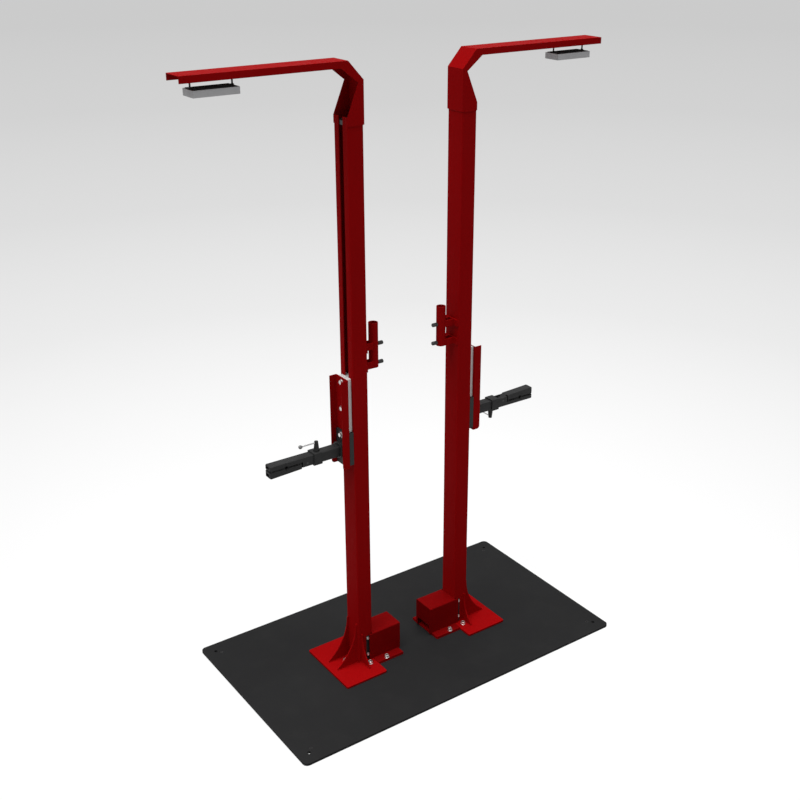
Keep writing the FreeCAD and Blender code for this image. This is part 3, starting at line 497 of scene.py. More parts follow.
def easedPieces():
    for family, width in easedEdges.items():
        for node in sorted(nodes):
            if node == family or node in ("left_" + family, "right_" + family):
                slot = slotOf[node]
                # the drive covers take the darker copy of the red paint, which is painted shade
                finish = finishes["shaded_cover_paint" if family == "drive_cover" else slot]
                addPiece("eased_" + node, easedMesh(node, width, finish), bodyOf[node], slot, node)


easedPieces()
print("stage: edges broken")

# Places are written in millimetres for the right stand; the left stand is the same, turned half a turn
standSizes = {
    "columnBack": 208, "columnFront": 272, "columnTop": 2170, "halfColumn": 42, "bend": 4,
    "footTop": 18, "screwAxis": 234, "clampAxis": 977.0, "socketBack": 136, "socketFront": 160.5,
    "socketHalf": 17, "socketLow": {"left": 1287, "right": 1303}, "socketStep": 74,
}


def stood(point, side):
    turn = stands[side]
    return Vector((turn * point[0], turn * point[1], point[2])) / 1000


def halfTurn(side):
    return Matrix.Rotation(0.0 if side == "right" else math.pi, 4, "Z")


def pathMesh(paths):
    shape = bmesh.new()
    for path in paths:
        corners = [shape.verts.new(point) for point in path]
        for first, second in zip(corners, corners[1:]):
            shape.edges.new((first, second))
    return meshFrom(shape, "paths")


def ring(radius, height, sides=48):
    # a level ring of points: radius may be a function of the angle
    angles = [2 * math.pi * k / sides for k in range(sides)]
    radii = [radius(angle) if callable(radius) else radius for angle in angles]
    heights = [height(angle) if callable(height) else height for angle in angles]
    return [Vector((r * math.cos(a), r * math.sin(a), z)) for r, a, z in zip(radii, angles, heights)]


def hexRadius(across):
    return lambda angle: across / 2 / math.cos((angle + math.pi / 6) % (math.pi / 3) - math.pi / 6)


chamferShare = 0.95   # the flat round top of a hexagon, as a share of its width


def chamfered(across, top):
    # height of a hexagon's rim under a 30 degree cone that starts at the flat top
    outline = hexRadius(across)
    return lambda angle: top - (outline(angle) - chamferShare * across / 2) * math.tan(math.radians(30))


roundLook = {"sharpFrom": 28, "samePoint": 1e-7}


def ringsMesh(name, shells, finish):
    # each shell is a closed skin over a stack of rings, given in millimetres
    shape = bmesh.new()
    for rings in shells:
        rows = [[shape.verts.new(point * 0.001) for point in row] for row in rings]
        count = len(rows[0])
        for lower, upper in zip(rows, rows[1:]):
            for k in range(count):
                nextOne = (k + 1) % count
                shape.faces.new((lower[k], lower[nextOne], upper[nextOne], upper[k]))
        shape.faces.new(rows[0][::-1])
        shape.faces.new(rows[-1])
    bmesh.ops.remove_doubles(shape, verts=shape.verts, dist=roundLook["samePoint"])
    bmesh.ops.recalc_face_normals(shape, faces=shape.faces)
    smoothed(shape, roundLook["sharpFrom"])
    return meshFrom(shape, name, finish)


def turned(profile, sides=48):
    return [ring(radius, height, sides) for radius, height in profile]


# Screws and nuts: patterns stand on their seat and point along Z, sizes in millimetres
hexBoltLook = {"across": 17.0, "head": 9.0, "washer": 10.5, "washerHigh": 2.0, "shank": 5.0, "reach": 17.5}
capScrewLook = {"head": 7.0, "high": 4.5, "key": 5.0, "keyDeep": 2.6, "shank": 4.0, "reach": 20.0}
carriageBoltLook = {
    "across": 15.0, "head": 7.0, "washer": 11.0, "washerHigh": 2.0, "shank": 4.0,
    "reach": 14.0,
}
knobLook = {
    "radius": 7.5, "flutes": 20, "fluteDeep": 0.55, "sides": 120, "low": 0.5, "high": 22.0,
    "lowEdge": (0.9, 1.0), "highEdge": (0.8, 1.4), "shank": 5.0, "reach": 2.3,
    "hollow": 4.2, "hollowEase": 0.3, "hollowDeep": 0.5,
}
levellerLook = {"radius": 6.0, "reach": 9.0, "ease": 0.8, "key": 6.0, "keyDeep": 4.5}
hangerNutLook = {"across": 10.0, "high": 5.0, "hole": 2.9, "ease": 0.2}
# broken edges that all the screws share, in millimetres
screwEdges = {
    "foot": 0.3, "rim": 0.5, "washer": 0.4, "hexagon": 0.35, "tip": 0.6, "tipLong": 0.8,
    "dish": ((1.2, 0.0), (1.5, 0.25)), "drill": (0.6, 0.8),
}


def shankRings(look, top, tipLong=screwEdges["tipLong"]):
    # a plain shank with a chamfered end
    return turned([(look["shank"] - screwEdges["tip"], -look["reach"]),
                   (look["shank"], tipLong - look["reach"]), (look["shank"], top)])


def hexBolt(look):
    edges = screwEdges
    seat, top, wide = look["washerHigh"], look["washerHigh"] + look["head"], look["washer"]
    washer = turned([(wide - edges["foot"], 0.0), (wide, edges["foot"]), (wide, seat - edges["washer"]),
                     (wide - edges["rim"], seat), (look["shank"], seat)])
    outline = hexRadius(look["across"])
    flat = chamferShare * look["across"] / 2
    head = [ring(flat, seat), ring(outline, seat + edges["hexagon"]),
            ring(outline, chamfered(look["across"], top)), ring(flat, top)]
    head += [ring(flat - inward, top - down) for inward, down in edges["dish"]]
    return [washer, head, shankRings(look, seat)]


def keyed(radius, across, top, depth):
    # rings of a round head with a hexagonal socket in its top
    rim, ease, point = screwEdges["rim"], screwEdges["hexagon"], screwEdges["drill"]
    key = hexRadius(across)
    return [ring(radius, top - rim), ring(radius - rim, top), ring(lambda a: key(a) + ease, top),
            ring(key, top - ease), ring(key, top - depth), ring(point[0], top - depth - point[1])]


def capScrew(look):
    wide, foot = look["head"], screwEdges["foot"]
    head = [ring(wide - foot, 0.0), ring(wide, foot)]
    return [shankRings(look, 0.0), head + keyed(wide, look["key"], look["high"], look["keyDeep"])]


def fluted(radius, count, depth):
    return lambda angle: radius - depth * (0.5 + 0.5 * math.cos(count * angle)) ** 3


def socketKnob(look):
    # an edge is (how far it goes in, how far along)
    grip = fluted(look["radius"], look["flutes"], look["fluteDeep"])
    low, high, lowEdge, highEdge = look["low"], look["high"], look["lowEdge"], look["highEdge"]
    bottom = high - look["hollowDeep"]
    rings = [(look["radius"] - lowEdge[0], low), (grip, low + lowEdge[1]), (grip, high - highEdge[1]),
             (look["radius"] - highEdge[0], high), (look["hollow"], high),
             (look["hollow"] - look["hollowEase"], bottom), (0.5, bottom)]
    return [turned(rings, look["sides"]), shankRings(look, low + lowEdge[1], screwEdges["tip"])]


def leveller(look):
    wide, ease = look["radius"], look["ease"]
    low = turned([(wide - ease, -look["reach"]), (wide, ease - look["reach"])])
    return [low + keyed(wide, look["key"], 0.0, look["keyDeep"])]


def hexNut(look):
    across, high, hole, ease = look["across"], look["high"], look["hole"], look["ease"]
    outline = hexRadius(across)
    upper = chamfered(across, high)
    lower = chamfered(across, 0.0)
    flat = chamferShare * across / 2
    return [[ring(hole, ease), ring(flat, 0.0), ring(outline, lambda a: -lower(a)), ring(outline, upper),
             ring(flat, high), ring(hole, high - ease)]]


def scattered(name, shape, finish, places, sizes):
    # copies of a mesh at (point, facing) places
    pattern = linked("pattern", shape)
    recipe = Recipe(name, finish, dict(sizes, Pattern=pattern))
    facing = recipe.node("GeometryNodeInputNamedAttribute", {"data_type": "FLOAT_VECTOR"}, {"Name": "facing"})
    aligned = recipe.node("FunctionNodeAlignRotationToVector", {"axis": "Z"}, {"Vector": facing})
    chance = recipe.node("FunctionNodeRandomValue", {"data_type": "FLOAT"},
                         {2: 0.0, 3: recipe.given("Spin"), 8: recipe.given("Seed")}, 1)
    spin = recipe.node("ShaderNodeCombineXYZ", None, {"Z": chance})
    about = recipe.node("FunctionNodeEulerToRotation", None, {0: spin})
    placed = recipe.node("FunctionNodeRotateRotation", {"rotation_space": "LOCAL"}, {0: aligned, 1: about})
    copied = recipe.node("GeometryNodeObjectInfo", None, {"Object": recipe.given("Pattern")}, "Geometry")
    copies = recipe.node("GeometryNodeInstanceOnPoints", None,
                         {"Points": recipe.given("Geometry"), "Instance": copied, "Rotation": placed,
                          "Scale": recipe.given("Scale")})
    recipe.end(copies)
    mesh = bpy.data.meshes.new("points")
    mesh.from_pydata([point for point, way in places], [], [])
    ways = mesh.attributes.new("facing", "FLOAT_VECTOR", "POINT")
    for entry, (point, way) in zip(ways.data, places):
        entry.vector = way
    grown = recipe.grown(mesh)
    bpy.data.objects.remove(pattern)
    return grown


def onStand(places, side):
    turn = stands[side]
    return [(stood(point, side), Vector((turn * way[0], turn * way[1], way[2]))) for point, way in places]


def everyStand(places):
    return [place for side in stands for place in onStand(places, side)]


def socketHeights(side):
    low = standSizes["socketLow"][side]
    return (low, low + standSizes["socketStep"])


upward = (0, 0, 1)
footBoltPlaces = [
    ((311, 0, 18), upward), ((236, 70, 18), upward), ((236, -70, 18), upward),
    ((161, 77, 20.5), upward), ((161, -77, 20.5), upward),
]
driveBoltPlaces = [((230, y, z), (0, math.copysign(1, y), 0)) for y in (-42, 42) for z in (45, 122)]
carriageBoltPlaces = [
    ((293.5, 0, 1245), (1, 0, 0)), ((293.5, 0, 1140), (1, 0, 0)),
    ((301.5, 0, 1035), (1, 0, 0)),
]
levellerPlaces = [(Vector((x, y, 9.5)) / 1000, Vector(upward)) for x in (-687, 687) for y in (-357, 357)]
screwSizes = {"Spin": 1.05, "Seed": 7, "Scale": 1.0}


def screwSet(name, rings, slot, places):
    return scattered(name, ringsMesh(name, rings, finishes[slot]), finishes[slot], places, screwSizes)


def makeScrews():
    bolts = screwSet("footBolts", hexBolt(hexBoltLook), "zinc", everyStand(footBoltPlaces))
    addPiece("foot_hex_bolts", bolts, "frame", "zinc", "foot_bolts")
    screws = screwSet("driveScrews", capScrew(capScrewLook), "zinc", everyStand(driveBoltPlaces))
    addPiece("drive_cap_screws", screws, "frame", "zinc")
    for side in stands:
        places = onStand(carriageBoltPlaces, side)
        bolts = screwSet("carriageBolts", hexBolt(carriageBoltLook), "zinc", places)
        addPiece(side + "_carriage_hex_bolts", bolts, side + "_carriage", "zinc", side + "_carriage_bolts")
    levellers = screwSet("levellers", leveller(levellerLook), "dark_screws", levellerPlaces)
    addPiece("levelling_set", levellers, "frame", "dark_screws", "levelling_screws")
    places = []
    for side in stands:
        seats = [((standSizes["socketBack"], 0, height), (-1, 0, 0)) for height in socketHeights(side)]
        places += onStand(seats, side)
    knobs = screwSet("socketKnobs", socketKnob(knobLook), "dark_screws", places)
    addPiece("socket_knobs", knobs, "frame", "dark_screws", "socket_screws")


makeScrews()
print("stage: screws made")


# Threads: round ridges wound on a core, several starts
def threaded(name, finish, sizes):
    recipe = Recipe(name, finish, sizes)
    turns = recipe.given("Height") / recipe.given("Lead")
    spiral = recipe.node("GeometryNodeCurveSpiral", None,
                         {"Resolution": recipe.given("Steps"), "Rotations": turns,
                          "Height": recipe.given("Height"), "Start Radius": recipe.given("Radius"),
                          "End Radius": recipe.given("Radius")})
    section = recipe.node("GeometryNodeCurvePrimitiveCircle", None,
                          {"Resolution": recipe.given("Sides"), "Radius": recipe.given("Ridge")})
    ridge = recipe.node("GeometryNodeCurveToMesh", None,
                        {"Curve": spiral, "Profile Curve": section, "Fill Caps": True})
    starts = recipe.node("GeometryNodeMeshLine", {"mode": "OFFSET"},
                         {"Count": recipe.given("Starts"), "Offset": (0.0, 0.0, 0.0)})
    index = recipe.node("GeometryNodeInputIndex")
    angle = recipe.node("ShaderNodeCombineXYZ", None, {"Z": index / recipe.given("Starts") * (2 * math.pi)})
    about = recipe.node("FunctionNodeEulerToRotation", None, {0: angle})
    recipe.end(recipe.node("GeometryNodeInstanceOnPoints", None,
                           {"Points": starts, "Instance": ridge, "Rotation": about}))
    return recipe.grown(bpy.data.meshes.new("empty"))


def joinedMesh(name, parts, finish):
    # (mesh, matrix) pairs as one mesh
    shape = bmesh.new()
    for mesh, matrix in parts:
        copy = mesh.copy()
        copy.transform(matrix)
        shape.from_mesh(copy)
        bpy.data.meshes.remove(copy)
    whole = meshFrom(shape, name, finish)
    for face in whole.polygons:
        face.material_index = 0
    return whole


screwThread = {
    "Height": 2.018, "Lead": 0.020, "Radius": 0.0078, "Ridge": 0.0012, "Steps": 14, "Sides": 6,
    "Starts": 4,
}
hangerThread = dict(screwThread, Height=0.0525, Lead=0.001, Radius=0.0027, Ridge=0.00028, Steps=16, Starts=1)
# a core's outline is (radius, height) in millimetres: journal, threaded length, upper collar and pin
screwLook = {
    "core": [(6.9, 58.0), (7.5, 58.6), (7.5, 134.3), (8.0, 134.6), (8.0, 150.0),
             (7.8, 151.0), (7.8, 2150.0), (8.2, 2169.0), (8.2, 2169.7), (6.0, 2169.8),
             (6.0, 2183.4), (5.4, 2184.0)],
    "threadFrom": 0.146,
}
hangerLook = {
    "core": [(2.4, 0.0), (2.7, 0.4), (2.7, 53.1), (2.4, 53.5)], "sides": 24,
    "low": 2325, "threadFrom": 0.5, "along": (660.77, 803.23), "nuts": (1, 8),
}


def makeScrewPair():
    steel = finishes["screw_steel"]
    core = ringsMesh("core", [turned(screwLook["core"])], steel)
    ridges = threaded("screwThread", steel, screwThread)
    lift = Matrix.Translation((0, 0, screwLook["threadFrom"]))
    for side in stands:
        place = Matrix.Translation(stood((standSizes["screwAxis"], 0, 0), side))
        mesh = joinedMesh("screw", [(core, place), (ridges, place @ lift)], steel)
        addPiece(side + "_threaded_screw", mesh, side + "_screw", "screw_steel", side + "_lifting_screw")


def makeHangers():
    look = hangerLook
    black = finishes["lamp_fixings"]
    rod = ringsMesh("rod", [turned(look["core"], look["sides"])], black)
    nut = ringsMesh("nut", hexNut(hangerNutLook), black)
    ridges = threaded("hangerThread", black, hangerThread)
    hanger = [(rod, 0), (ridges, look["threadFrom"])] + [(nut, gap) for gap in look["nuts"]]
    parts = [(mesh, Matrix.Translation(stood((x, 0, look["low"] + above), side)))
             for side in stands for x in look["along"] for mesh, above in hanger]
    mesh = joinedMesh("hangers", parts, black)
    addPiece("lamp_threaded_hangers", mesh, "frame", "lamp_fixings", "lamp_hangers")


makeScrewPair()
makeHangers()
print("stage: threads made")


# Weld beads along joints: a rippled bead swept along each path
def beads(name, finish, paths, sizes):
    recipe = Recipe(name, finish, sizes)
    path = recipe.node("GeometryNodeMeshToCurve", None, {"Mesh": recipe.given("Geometry")})
    fine = recipe.node("GeometryNodeResampleCurve", {"mode": "LENGTH"},
                       {"Curve": path, "Length": recipe.given("Step")})
    run = recipe.node("GeometryNodeSplineParameter", output="Length")
    ripple = recipe.math("SINE", run / recipe.given("Pitch") * (2 * math.pi)) * recipe.given("Ripple")
    uneven = recipe.node("ShaderNodeTexNoise", {"noise_dimensions": "4D"},
                         {"W": recipe.given("Seed"), "Scale": recipe.given("Grain"), "Detail": 1.0})
    swell = ripple + (uneven - 0.5) * recipe.given("Waver") + 1.0
    sized = recipe.node("GeometryNodeSetCurveRadius", None, {"Curve": fine, "Radius": swell})
    section = recipe.node("GeometryNodeCurvePrimitiveCircle", None,
                          {"Resolution": recipe.given("Sides"), "Radius": recipe.given("Radius")})
    recipe.end(recipe.node("GeometryNodeCurveToMesh", None,
                           {"Curve": sized, "Profile Curve": section, "Fill Caps": True}))
    return recipe.grown(pathMesh(paths))


beadSizes = {
    "Radius": 0.0024, "Sides": 7, "Pitch": 0.0042, "Step": 0.0012, "Ripple": 0.13, "Waver": 0.5,
    "Grain": 180.0, "Seed": 2.0,
}
weldLook = {
    "frontRib": 32.5, "frontToe": 368, "frontRibTop": 195, "sideRib": 257, "sideToe": 99,
    "sideRibTop": 145, "halfRib": 2.5, "sideRuns": ((228, 253), (262, 271)), "frontRun": (37, 41),
    "slotRun": 28, "bracketHalf": 12, "armGap": 3, "bossFront": 301.5, "bossRadius": 32,
    "bossSteps": 48,
}


def footPaths():
    look = weldLook
    foot, front, half = standSizes["footTop"], standSizes["columnFront"], standSizes["halfColumn"]
    paths = []
    for rib in (-look["frontRib"], look["frontRib"]):
        for y in (rib - look["halfRib"], rib + look["halfRib"]):
            paths.append([(look["frontToe"], y, foot), (front, y, foot), (front, y, look["frontRibTop"])])
    for x in (look["sideRib"] - look["halfRib"], look["sideRib"] + look["halfRib"]):
        for turn in (-1, 1):
            paths.append([(x, turn * look["sideToe"], foot), (x, turn * half, foot),
                          (x, turn * half, look["sideRibTop"])])
    for turn in (-1, 1):
        for start, end in look["sideRuns"]:
            paths.append([(start, turn * half, foot), (end, turn * half, foot)])
        paths.append([(front, turn * y, foot) for y in look["frontRun"]])
    paths.append([(front, turn * look["slotRun"], foot) for turn in (-1, 1)])
    return paths


def upperPaths(side):
    back, half, bend = standSizes["columnBack"], standSizes["halfColumn"], standSizes["bend"]
    paths = []
    for middle in socketHeights(side):
        ends = (middle - weldLook["bracketHalf"], middle + weldLook["bracketHalf"])
        for turn in (-1, 1):
            for x, y in ((back, half - bend), (standSizes["socketFront"], standSizes["socketHalf"])):
                paths.append([(x, turn * y, height) for height in ends])
    front = standSizes["columnFront"] - weldLook["armGap"]
    seam = [(front, half), (back + bend, half), (back, half - bend)]
    around = seam + [(x, -y) for x, y in reversed(seam)]
    paths.append([(x, y, standSizes["columnTop"]) for x, y in around])
    return paths


def bossPath():
    steps, radius = weldLook["bossSteps"], weldLook["bossRadius"]
    angles = [2 * math.pi * k / steps for k in range(steps + 1)]
    return [(weldLook["bossFront"], radius * math.cos(a), standSizes["clampAxis"] + radius * math.sin(a))
            for a in angles]


def makeBeads():
    red = finishes["red_paint"]
    black = finishes["black_metal"]
    for side in stands:
        paths = [[stood(point, side) for point in path] for path in footPaths() + upperPaths(side)]
        addPiece(side + "_stand_welds", beads("standBeads", red, paths, beadSizes), "frame", "red_paint")
        path = [stood(point, side) for point in bossPath()]
        bead = beads("bossBead", black, [path], beadSizes)
        addPiece(side + "_boss_weld", bead, side + "_carriage", "black_metal")


makeBeads()
print("stage: welds made")


# Clamp: crank with its bright rod and ball, and the jaws' rubber liners with cross grooves.
# Outlines are (radius, height) in millimetres: up from the stud's middle for the hub, which starts inside its
# bore, and along the rod for the others.
crankLook = {
    "studAlong": 410, "rodHigh": 0.05585, "ballAlong": 0.067, "rodSides": 24,
    "hub": [(0.6, 49.8), (4.35, 49.0), (4.35, 14.4), (8.2, 14.4), (8.5, 14.7), (8.5, 16.4),
            (8.2, 16.7), (6.0, 16.8), (6.0, 24.7), (11.2, 24.85), (11.8, 25.5), (11.8, 29.0),
            (11.4, 29.6), (10.2, 31.2), (7.9, 53.0), (7.4, 57.0), (7.5, 60.5), (7.1, 61.5),
            (6.2, 61.85), (0.6, 61.85)],
    "rod": [(2.1, -5.0), (2.5, -4.6), (2.5, 62.5), (2.8, 63.0), (2.8, 66.0)],
    "ballNeck": [(2.4, -8.6), (3.4, -8.4), (3.7, -7.6)],
    "ball": 7.5, "ballFlat": 0.3, "ballSteps": 24,
}


def crankMatrix(side):
    # the crank's own frame stands on the stud's middle, rod along X; the right clamp is turned over
    tilt = Matrix.Identity(4)
    if side == "right":
        tilt = Matrix.Rotation(math.pi, 4, "X") @ Matrix.Rotation(-math.pi / 2, 4, "Z")
    stud = stood((crankLook["studAlong"], 0, standSizes["clampAxis"]), side)
    return Matrix.Translation(stud) @ halfTurn(side) @ tilt


def ballRings(look):
    # a ball on a short neck, up to a small flat at its end
    count = look["ballSteps"]
    angles = [k * math.pi / count for k in range(-count // 3, count // 2)]
    ball = [(look["ball"] * math.cos(a), look["ball"] * math.sin(a)) for a in angles]
    return turned(look["ballNeck"] + ball + [(look["ballFlat"], look["ball"])])


def makeCranks():
    look = crankLook
    black = finishes["crank_metal"]
    bright = finishes["screw_steel"]
    grey = finishes["ball_plastic"]
    hub = ringsMesh("hub", [turned(look["hub"])], black)
    rod = ringsMesh("rod", [turned(look["rod"], look["rodSides"])], bright)
    ball = ringsMesh("ball", [ballRings(look)], grey)
    for side in stands:
        body = side + "_crank_handle"
        place = crankMatrix(side)
        lying = place @ Matrix.Translation((0, 0, look["rodHigh"])) @ Matrix.Rotation(math.pi / 2, 4, "Y")
        tip = lying @ Matrix.Translation((0, 0, look["ballAlong"]))
        addPiece(side + "_crank_hub", joinedMesh("hub", [(hub, place)], black), body, "crank_metal",
                 side + "_crank")
        addPiece(side + "_crank_rod", joinedMesh("rod", [(rod, lying)], bright), body, "screw_steel")
        addPiece(side + "_crank_grip", joinedMesh("grip", [(ball, tip)], grey), body, "ball_plastic",
                 side + "_crank_ball")


linerLook = {
    "start": 486.0, "end": 610.0, "near": 0.3, "far": 4.0, "half": 19.5,
    "middle": 548.0, "hollow": 6.0, "hollowSteps": 16, "shell": 9.4, "shellSteps": 14,
    "pitch": 5.0, "land": 1.9, "slope": 0.2, "cut": 1.2, "deep": 1.0,
}


def arcAngles(height, radius, steps):
    # from one side of an arch to the other, starting and ending at a height
    lean = math.asin(height / radius)
    return [lean + (math.pi - 2 * lean) * k / steps for k in range(steps + 1)]


def grippingFace(look):
    # (along, away from the axis) points of the side that grips, with its cross grooves
    near, bottom = look["near"], look["near"] + look["deep"]
    along = look["start"]
    face = []
    while along < look["end"] - 0.1:
        face.append((along, near))
        clear = abs(along + look["pitch"] / 2 - look["middle"]) > look["hollow"] + look["pitch"] / 2
        if clear and along + look["pitch"] < look["end"]:
            first = along + look["land"]
            last = first + look["cut"]
            face += [(first, near), (first + look["slope"], bottom), (last, bottom),
                     (last + look["slope"], near)]
        along += look["pitch"]
    return face + [(look["end"], near)]


def linerOutline(look):
    # one liner's section, gripping side first, with the hollow for a tube in its middle
    face = grippingFace(look)
    reach = math.sqrt(look["hollow"] ** 2 - look["near"] ** 2)
    before = [p for p in face if p[0] < look["middle"] - reach]
    after = [p for p in face if p[0] > look["middle"] + reach]
    inner = [(look["middle"] - look["hollow"] * math.cos(a), look["hollow"] * math.sin(a))
             for a in arcAngles(look["near"], look["hollow"], look["hollowSteps"])]
    outer = [(look["middle"] + look["shell"] * math.cos(a), look["shell"] * math.sin(a))
             for a in arcAngles(look["far"], look["shell"], look["shellSteps"])]
    return before + inner + after + [(look["end"], look["far"])] + outer + [(look["start"], look["far"])]


def slabMesh(name, outline, half, finish, place=Matrix.Identity(4)):
    # an (x, z) outline drawn out by half to both sides of the XZ plane, all in millimetres. The lids, fins,
    # black shade sheets and lens sheets give half in metres, so they come out a thousandth as thick as their
    # tables say.
    shape = bmesh.new()
    sides = [[shape.verts.new((x / 1000, y / 1000, z / 1000)) for x, z in outline] for y in (-half, half)]
    count = len(outline)
    for k in range(count):
        nextOne = (k + 1) % count
        shape.faces.new((sides[0][k], sides[0][nextOne], sides[1][nextOne], sides[1][k]))
    caps = [shape.faces.new(sides[0]), shape.faces.new(sides[1])]
    bmesh.ops.triangulate(shape, faces=caps)
    bmesh.ops.transform(shape, matrix=place, verts=shape.verts)
    bmesh.ops.recalc_face_normals(shape, faces=shape.faces)
    return meshFrom(shape, name, finish)


cornerSteps = 5


def roundedOutline(left, right, low, high, radius):
    corners = ((right - radius, high - radius, 0), (left + radius, high - radius, 90),
               (left + radius, low + radius, 180), (right - radius, low + radius, 270))
    outline = []
    for x, z, start in corners:
        for step in range(cornerSteps + 1):
            angle = math.radians(start + 90 * step / cornerSteps)
            outline.append((x + radius * math.cos(angle), z + radius * math.sin(angle)))
    return outline


# Lamp tops: a black lid with low cooling fins
lampTopLook = {
    "middle": 732.0, "seat": 2333.0, "long": 76.5, "wide": 33.0, "round": 3.0, "lid": 0.6,
    "finHigh": 1.6, "finThick": 1.6, "finPitch": 5.4, "finEnd": 2.0, "finEase": 0.5, "clear": 8.0,
    "finsEachSide": 5,
}


def finOutline(look):
    end, top, ease = look["long"] - look["finEnd"], look["finHigh"], look["finEase"]
    return [(-end, 0), (end, 0), (end, top - ease), (end - ease, top), (ease - end, top), (-end, top - ease)]


def makeLampTops():
    look = lampTopLook
    black = finishes["lamp_fixings"]
    level = Matrix.Rotation(math.pi / 2, 4, "X")
    outline = roundedOutline(-look["long"], look["long"], -look["wide"], look["wide"], look["round"])
    lid = slabMesh("lid", outline, look["lid"] / 2000, black, level)
    parts = [(lid, Matrix.Translation(stood((look["middle"], 0, look["seat"] + look["lid"] / 2), side)))
             for side in stands]
    fin = slabMesh("fin", finOutline(look), look["finThick"] / 2000, black)
    rows = [turn * (look["clear"] + k * look["finPitch"])
            for turn in (-1, 1) for k in range(look["finsEachSide"])]
    places = everyStand([((look["middle"], y, look["seat"] + look["lid"]), upward) for y in rows])
    fins = scattered("fins", fin, black, places, dict(screwSizes, Spin=0.0))
    parts.append((fins, Matrix.Identity(4)))
    addPiece("lamp_finned_tops", joinedMesh("lampTops", parts, black), "frame", "lamp_fixings")


# Black sheets under the drive screws, between the column's sides and the cover: painted shade, standing in
# for the deep shade in that gap
driveShadeSheetLook = {"back": 211.0, "front": 237.0, "low": 19.0, "high": 133.0, "round": 4.0, "thick": 1.4}


def makeDriveShadeSheets():
    look = driveShadeSheetLook
    black = finishes["black_plastic"]
    outline = roundedOutline(look["back"], look["front"], look["low"], look["high"], look["round"])
    pad = slabMesh("pad", outline, look["thick"] / 2000, black)
    reach = (standSizes["halfColumn"] + look["thick"] / 2) / 1000
    parts = [(pad, halfTurn(side) @ Matrix.Translation((0, turn * reach, 0)))
             for side in stands for turn in (-1, 1)]
    addPiece("drive_screw_pads", joinedMesh("pads", parts, black), "frame", "black_plastic")


# Opal lamp cover: a ribbed sheet in the lamp's open underside. A groove is (share of a rib, share of its
# depth).
lensSheetLook = {
    "start": 654.1, "end": 809.9, "half": 34.4, "low": 2311.0, "high": 2314.0, "ribs": 16,
    "rim": 2.4, "deep": 0.9,
    "groove": ((0.02, 0.0), (0.2, 0.6), (0.5, 1.0), (0.8, 0.6), (0.98, 0.0)),
}


def lensOutline(look):
    half, low, high = look["half"], look["low"], look["high"]
    width = (half - look["rim"]) * 2 / look["ribs"]
    outline = [(-half, low)]
    for k in range(look["ribs"]):
        start = look["rim"] - half + k * width
        outline += [(start + share * width, low + look["deep"] * depth) for share, depth in look["groove"]]
    return outline + [(half, low), (half, high), (-half, high)]


def makeLenses():
    # the section lies across the lamp and the sheet runs along it
    look = lensSheetLook
    finish = finishes["lamp_lens"]
    along = Matrix.Rotation(math.pi / 2, 4, "Z")
    sheet = slabMesh("lens", lensOutline(look), (look["end"] - look["start"]) / 2000, finish, along)
    middle = (look["start"] + look["end"]) / 2
    parts = [(sheet, Matrix.Translation(stood((middle, 0, 0), side))) for side in stands]
    addPiece("ribbed_lamp_lenses", joinedMesh("lenses", parts, finish), "frame", "lamp_lens", "lamp_lenses")


def makeLiners():
    rubber = finishes["jaw_rubber"]
    outline = linerOutline(linerLook)
    axis = Matrix.Translation((0, 0, standSizes["clampAxis"] / 1000))
    for side in stands:
        roll = math.pi if side == "right" else 0.0
        for jaw, body, flip in (("fixed_jaw_pad", "clamp", 0.0), ("moving_jaw_pad", "jaw", math.pi)):
            place = axis @ halfTurn(side) @ Matrix.Rotation(roll + flip, 4, "X")
            mesh = slabMesh("liner", outline, linerLook["half"], rubber, place)
            addPiece(side + "_" + jaw + "_ribbed", mesh, side + "_" + body, "jaw_rubber", side + "_" + jaw)


makeCranks()
makeLiners()
makeLenses()
makeLampTops()
makeDriveShadeSheets()
print("stage: clamps and lamps detailed")

# Floor, lamps and world. The floor is pale, and greyer far away, as in the photograph.
floorLook = {
    "radius": 45.0, "sides": 96, "bounce": 0.34, "litShare": 0.30, "glow": 1.0,
    "greys": ((1.5, 1.0), (4.3, 0.807), (7.4, 0.701), (13.1, 0.624), (24.0, 0.578)),
}


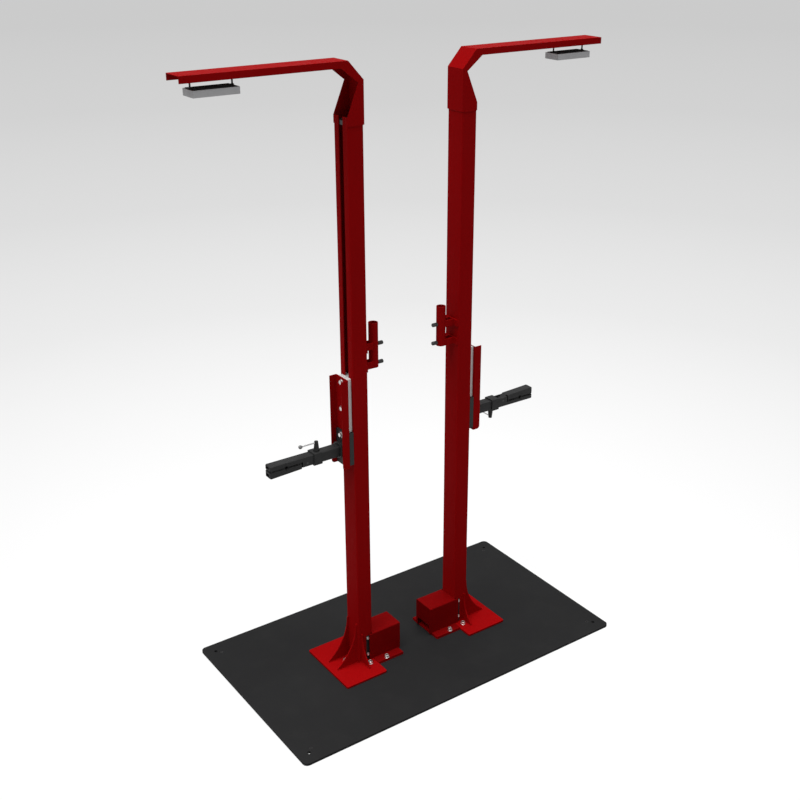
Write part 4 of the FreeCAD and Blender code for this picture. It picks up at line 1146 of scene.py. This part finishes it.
def makeFloor(look):
    # the camera sees a bright floor, the stands get light from a darker one
    finish = Finish("paleFloor")
    far = finish.node("ShaderNodeVectorMath", {"operation": "LENGTH"}, {0: finish.place}, "Value")
    reach = look["greys"][-1][0]
    stops = [(distance / reach, shade(grey)) for distance, grey in look["greys"]]
    tone = finish.node("ShaderNodeValToRGB", {"stops": stops}, {"Fac": far / reach})
    lit = finish.node("ShaderNodeBsdfDiffuse", None, {"Color": tone})
    glow = finish.node("ShaderNodeEmission", None, {"Color": tone, "Strength": look["glow"]})
    seen = finish.node("ShaderNodeMixShader", None, {0: look["litShare"], 1: glow, 2: lit})
    plain = finish.node("ShaderNodeBsdfDiffuse", None, {"Color": shade(look["bounce"])})
    floorShader = finish.node("ShaderNodeMixShader", None, {0: finish.looking(), 1: plain, 2: seen})
    finish.tree.nodes.remove(finish.shader)
    finish.feed(finish.tree.nodes["Material Output"].inputs["Surface"], floorShader)
    shape = bmesh.new()
    bmesh.ops.create_circle(shape, cap_ends=True, radius=look["radius"], segments=look["sides"])
    floor = linked("floor", meshFrom(shape, "floor", finish.material))


makeFloor(floorLook)

# Sun lamps with a wide disc stand in for studio softboxes: strength, where they shine from, spread in degrees
lamps = {
    "overhead": {"strength": 2.3, "from": (0.0, 0.0, 1.0), "spread": 50.0},
    "leftHigh": {"strength": 0.9, "from": (-0.6, -0.05, 1.0), "spread": 30.0},
    "frontSide": {"strength": 0.16, "from": (0.1, -1.0, 0.7), "spread": 50.0},
}


def makeLamps(settings):
    for name, lamp in settings.items():
        data = bpy.data.lights.new(name, "SUN")
        data.energy = lamp["strength"]
        data.angle = math.radians(lamp["spread"])
        light = linked(name, data)
        light.rotation_euler = Vector(lamp["from"]).to_track_quat("Z", "Y").to_euler()


makeLamps(lamps)

skyLook = {"light": 0.11, "seen": 0.578}


def makeSky(look):
    world = bpy.data.worlds.new("studioWorld")
    world.use_nodes = True
    sky = Graph(world.node_tree)
    base = world.node_tree.nodes["Background"]
    sky.feed(base.inputs["Color"], shade(1.0))
    sky.feed(base.inputs["Strength"], sky.looking() * (look["seen"] - look["light"]) + look["light"])
    bpy.context.scene.world = world


makeSky(skyLook)
print("stage: floor and light set")
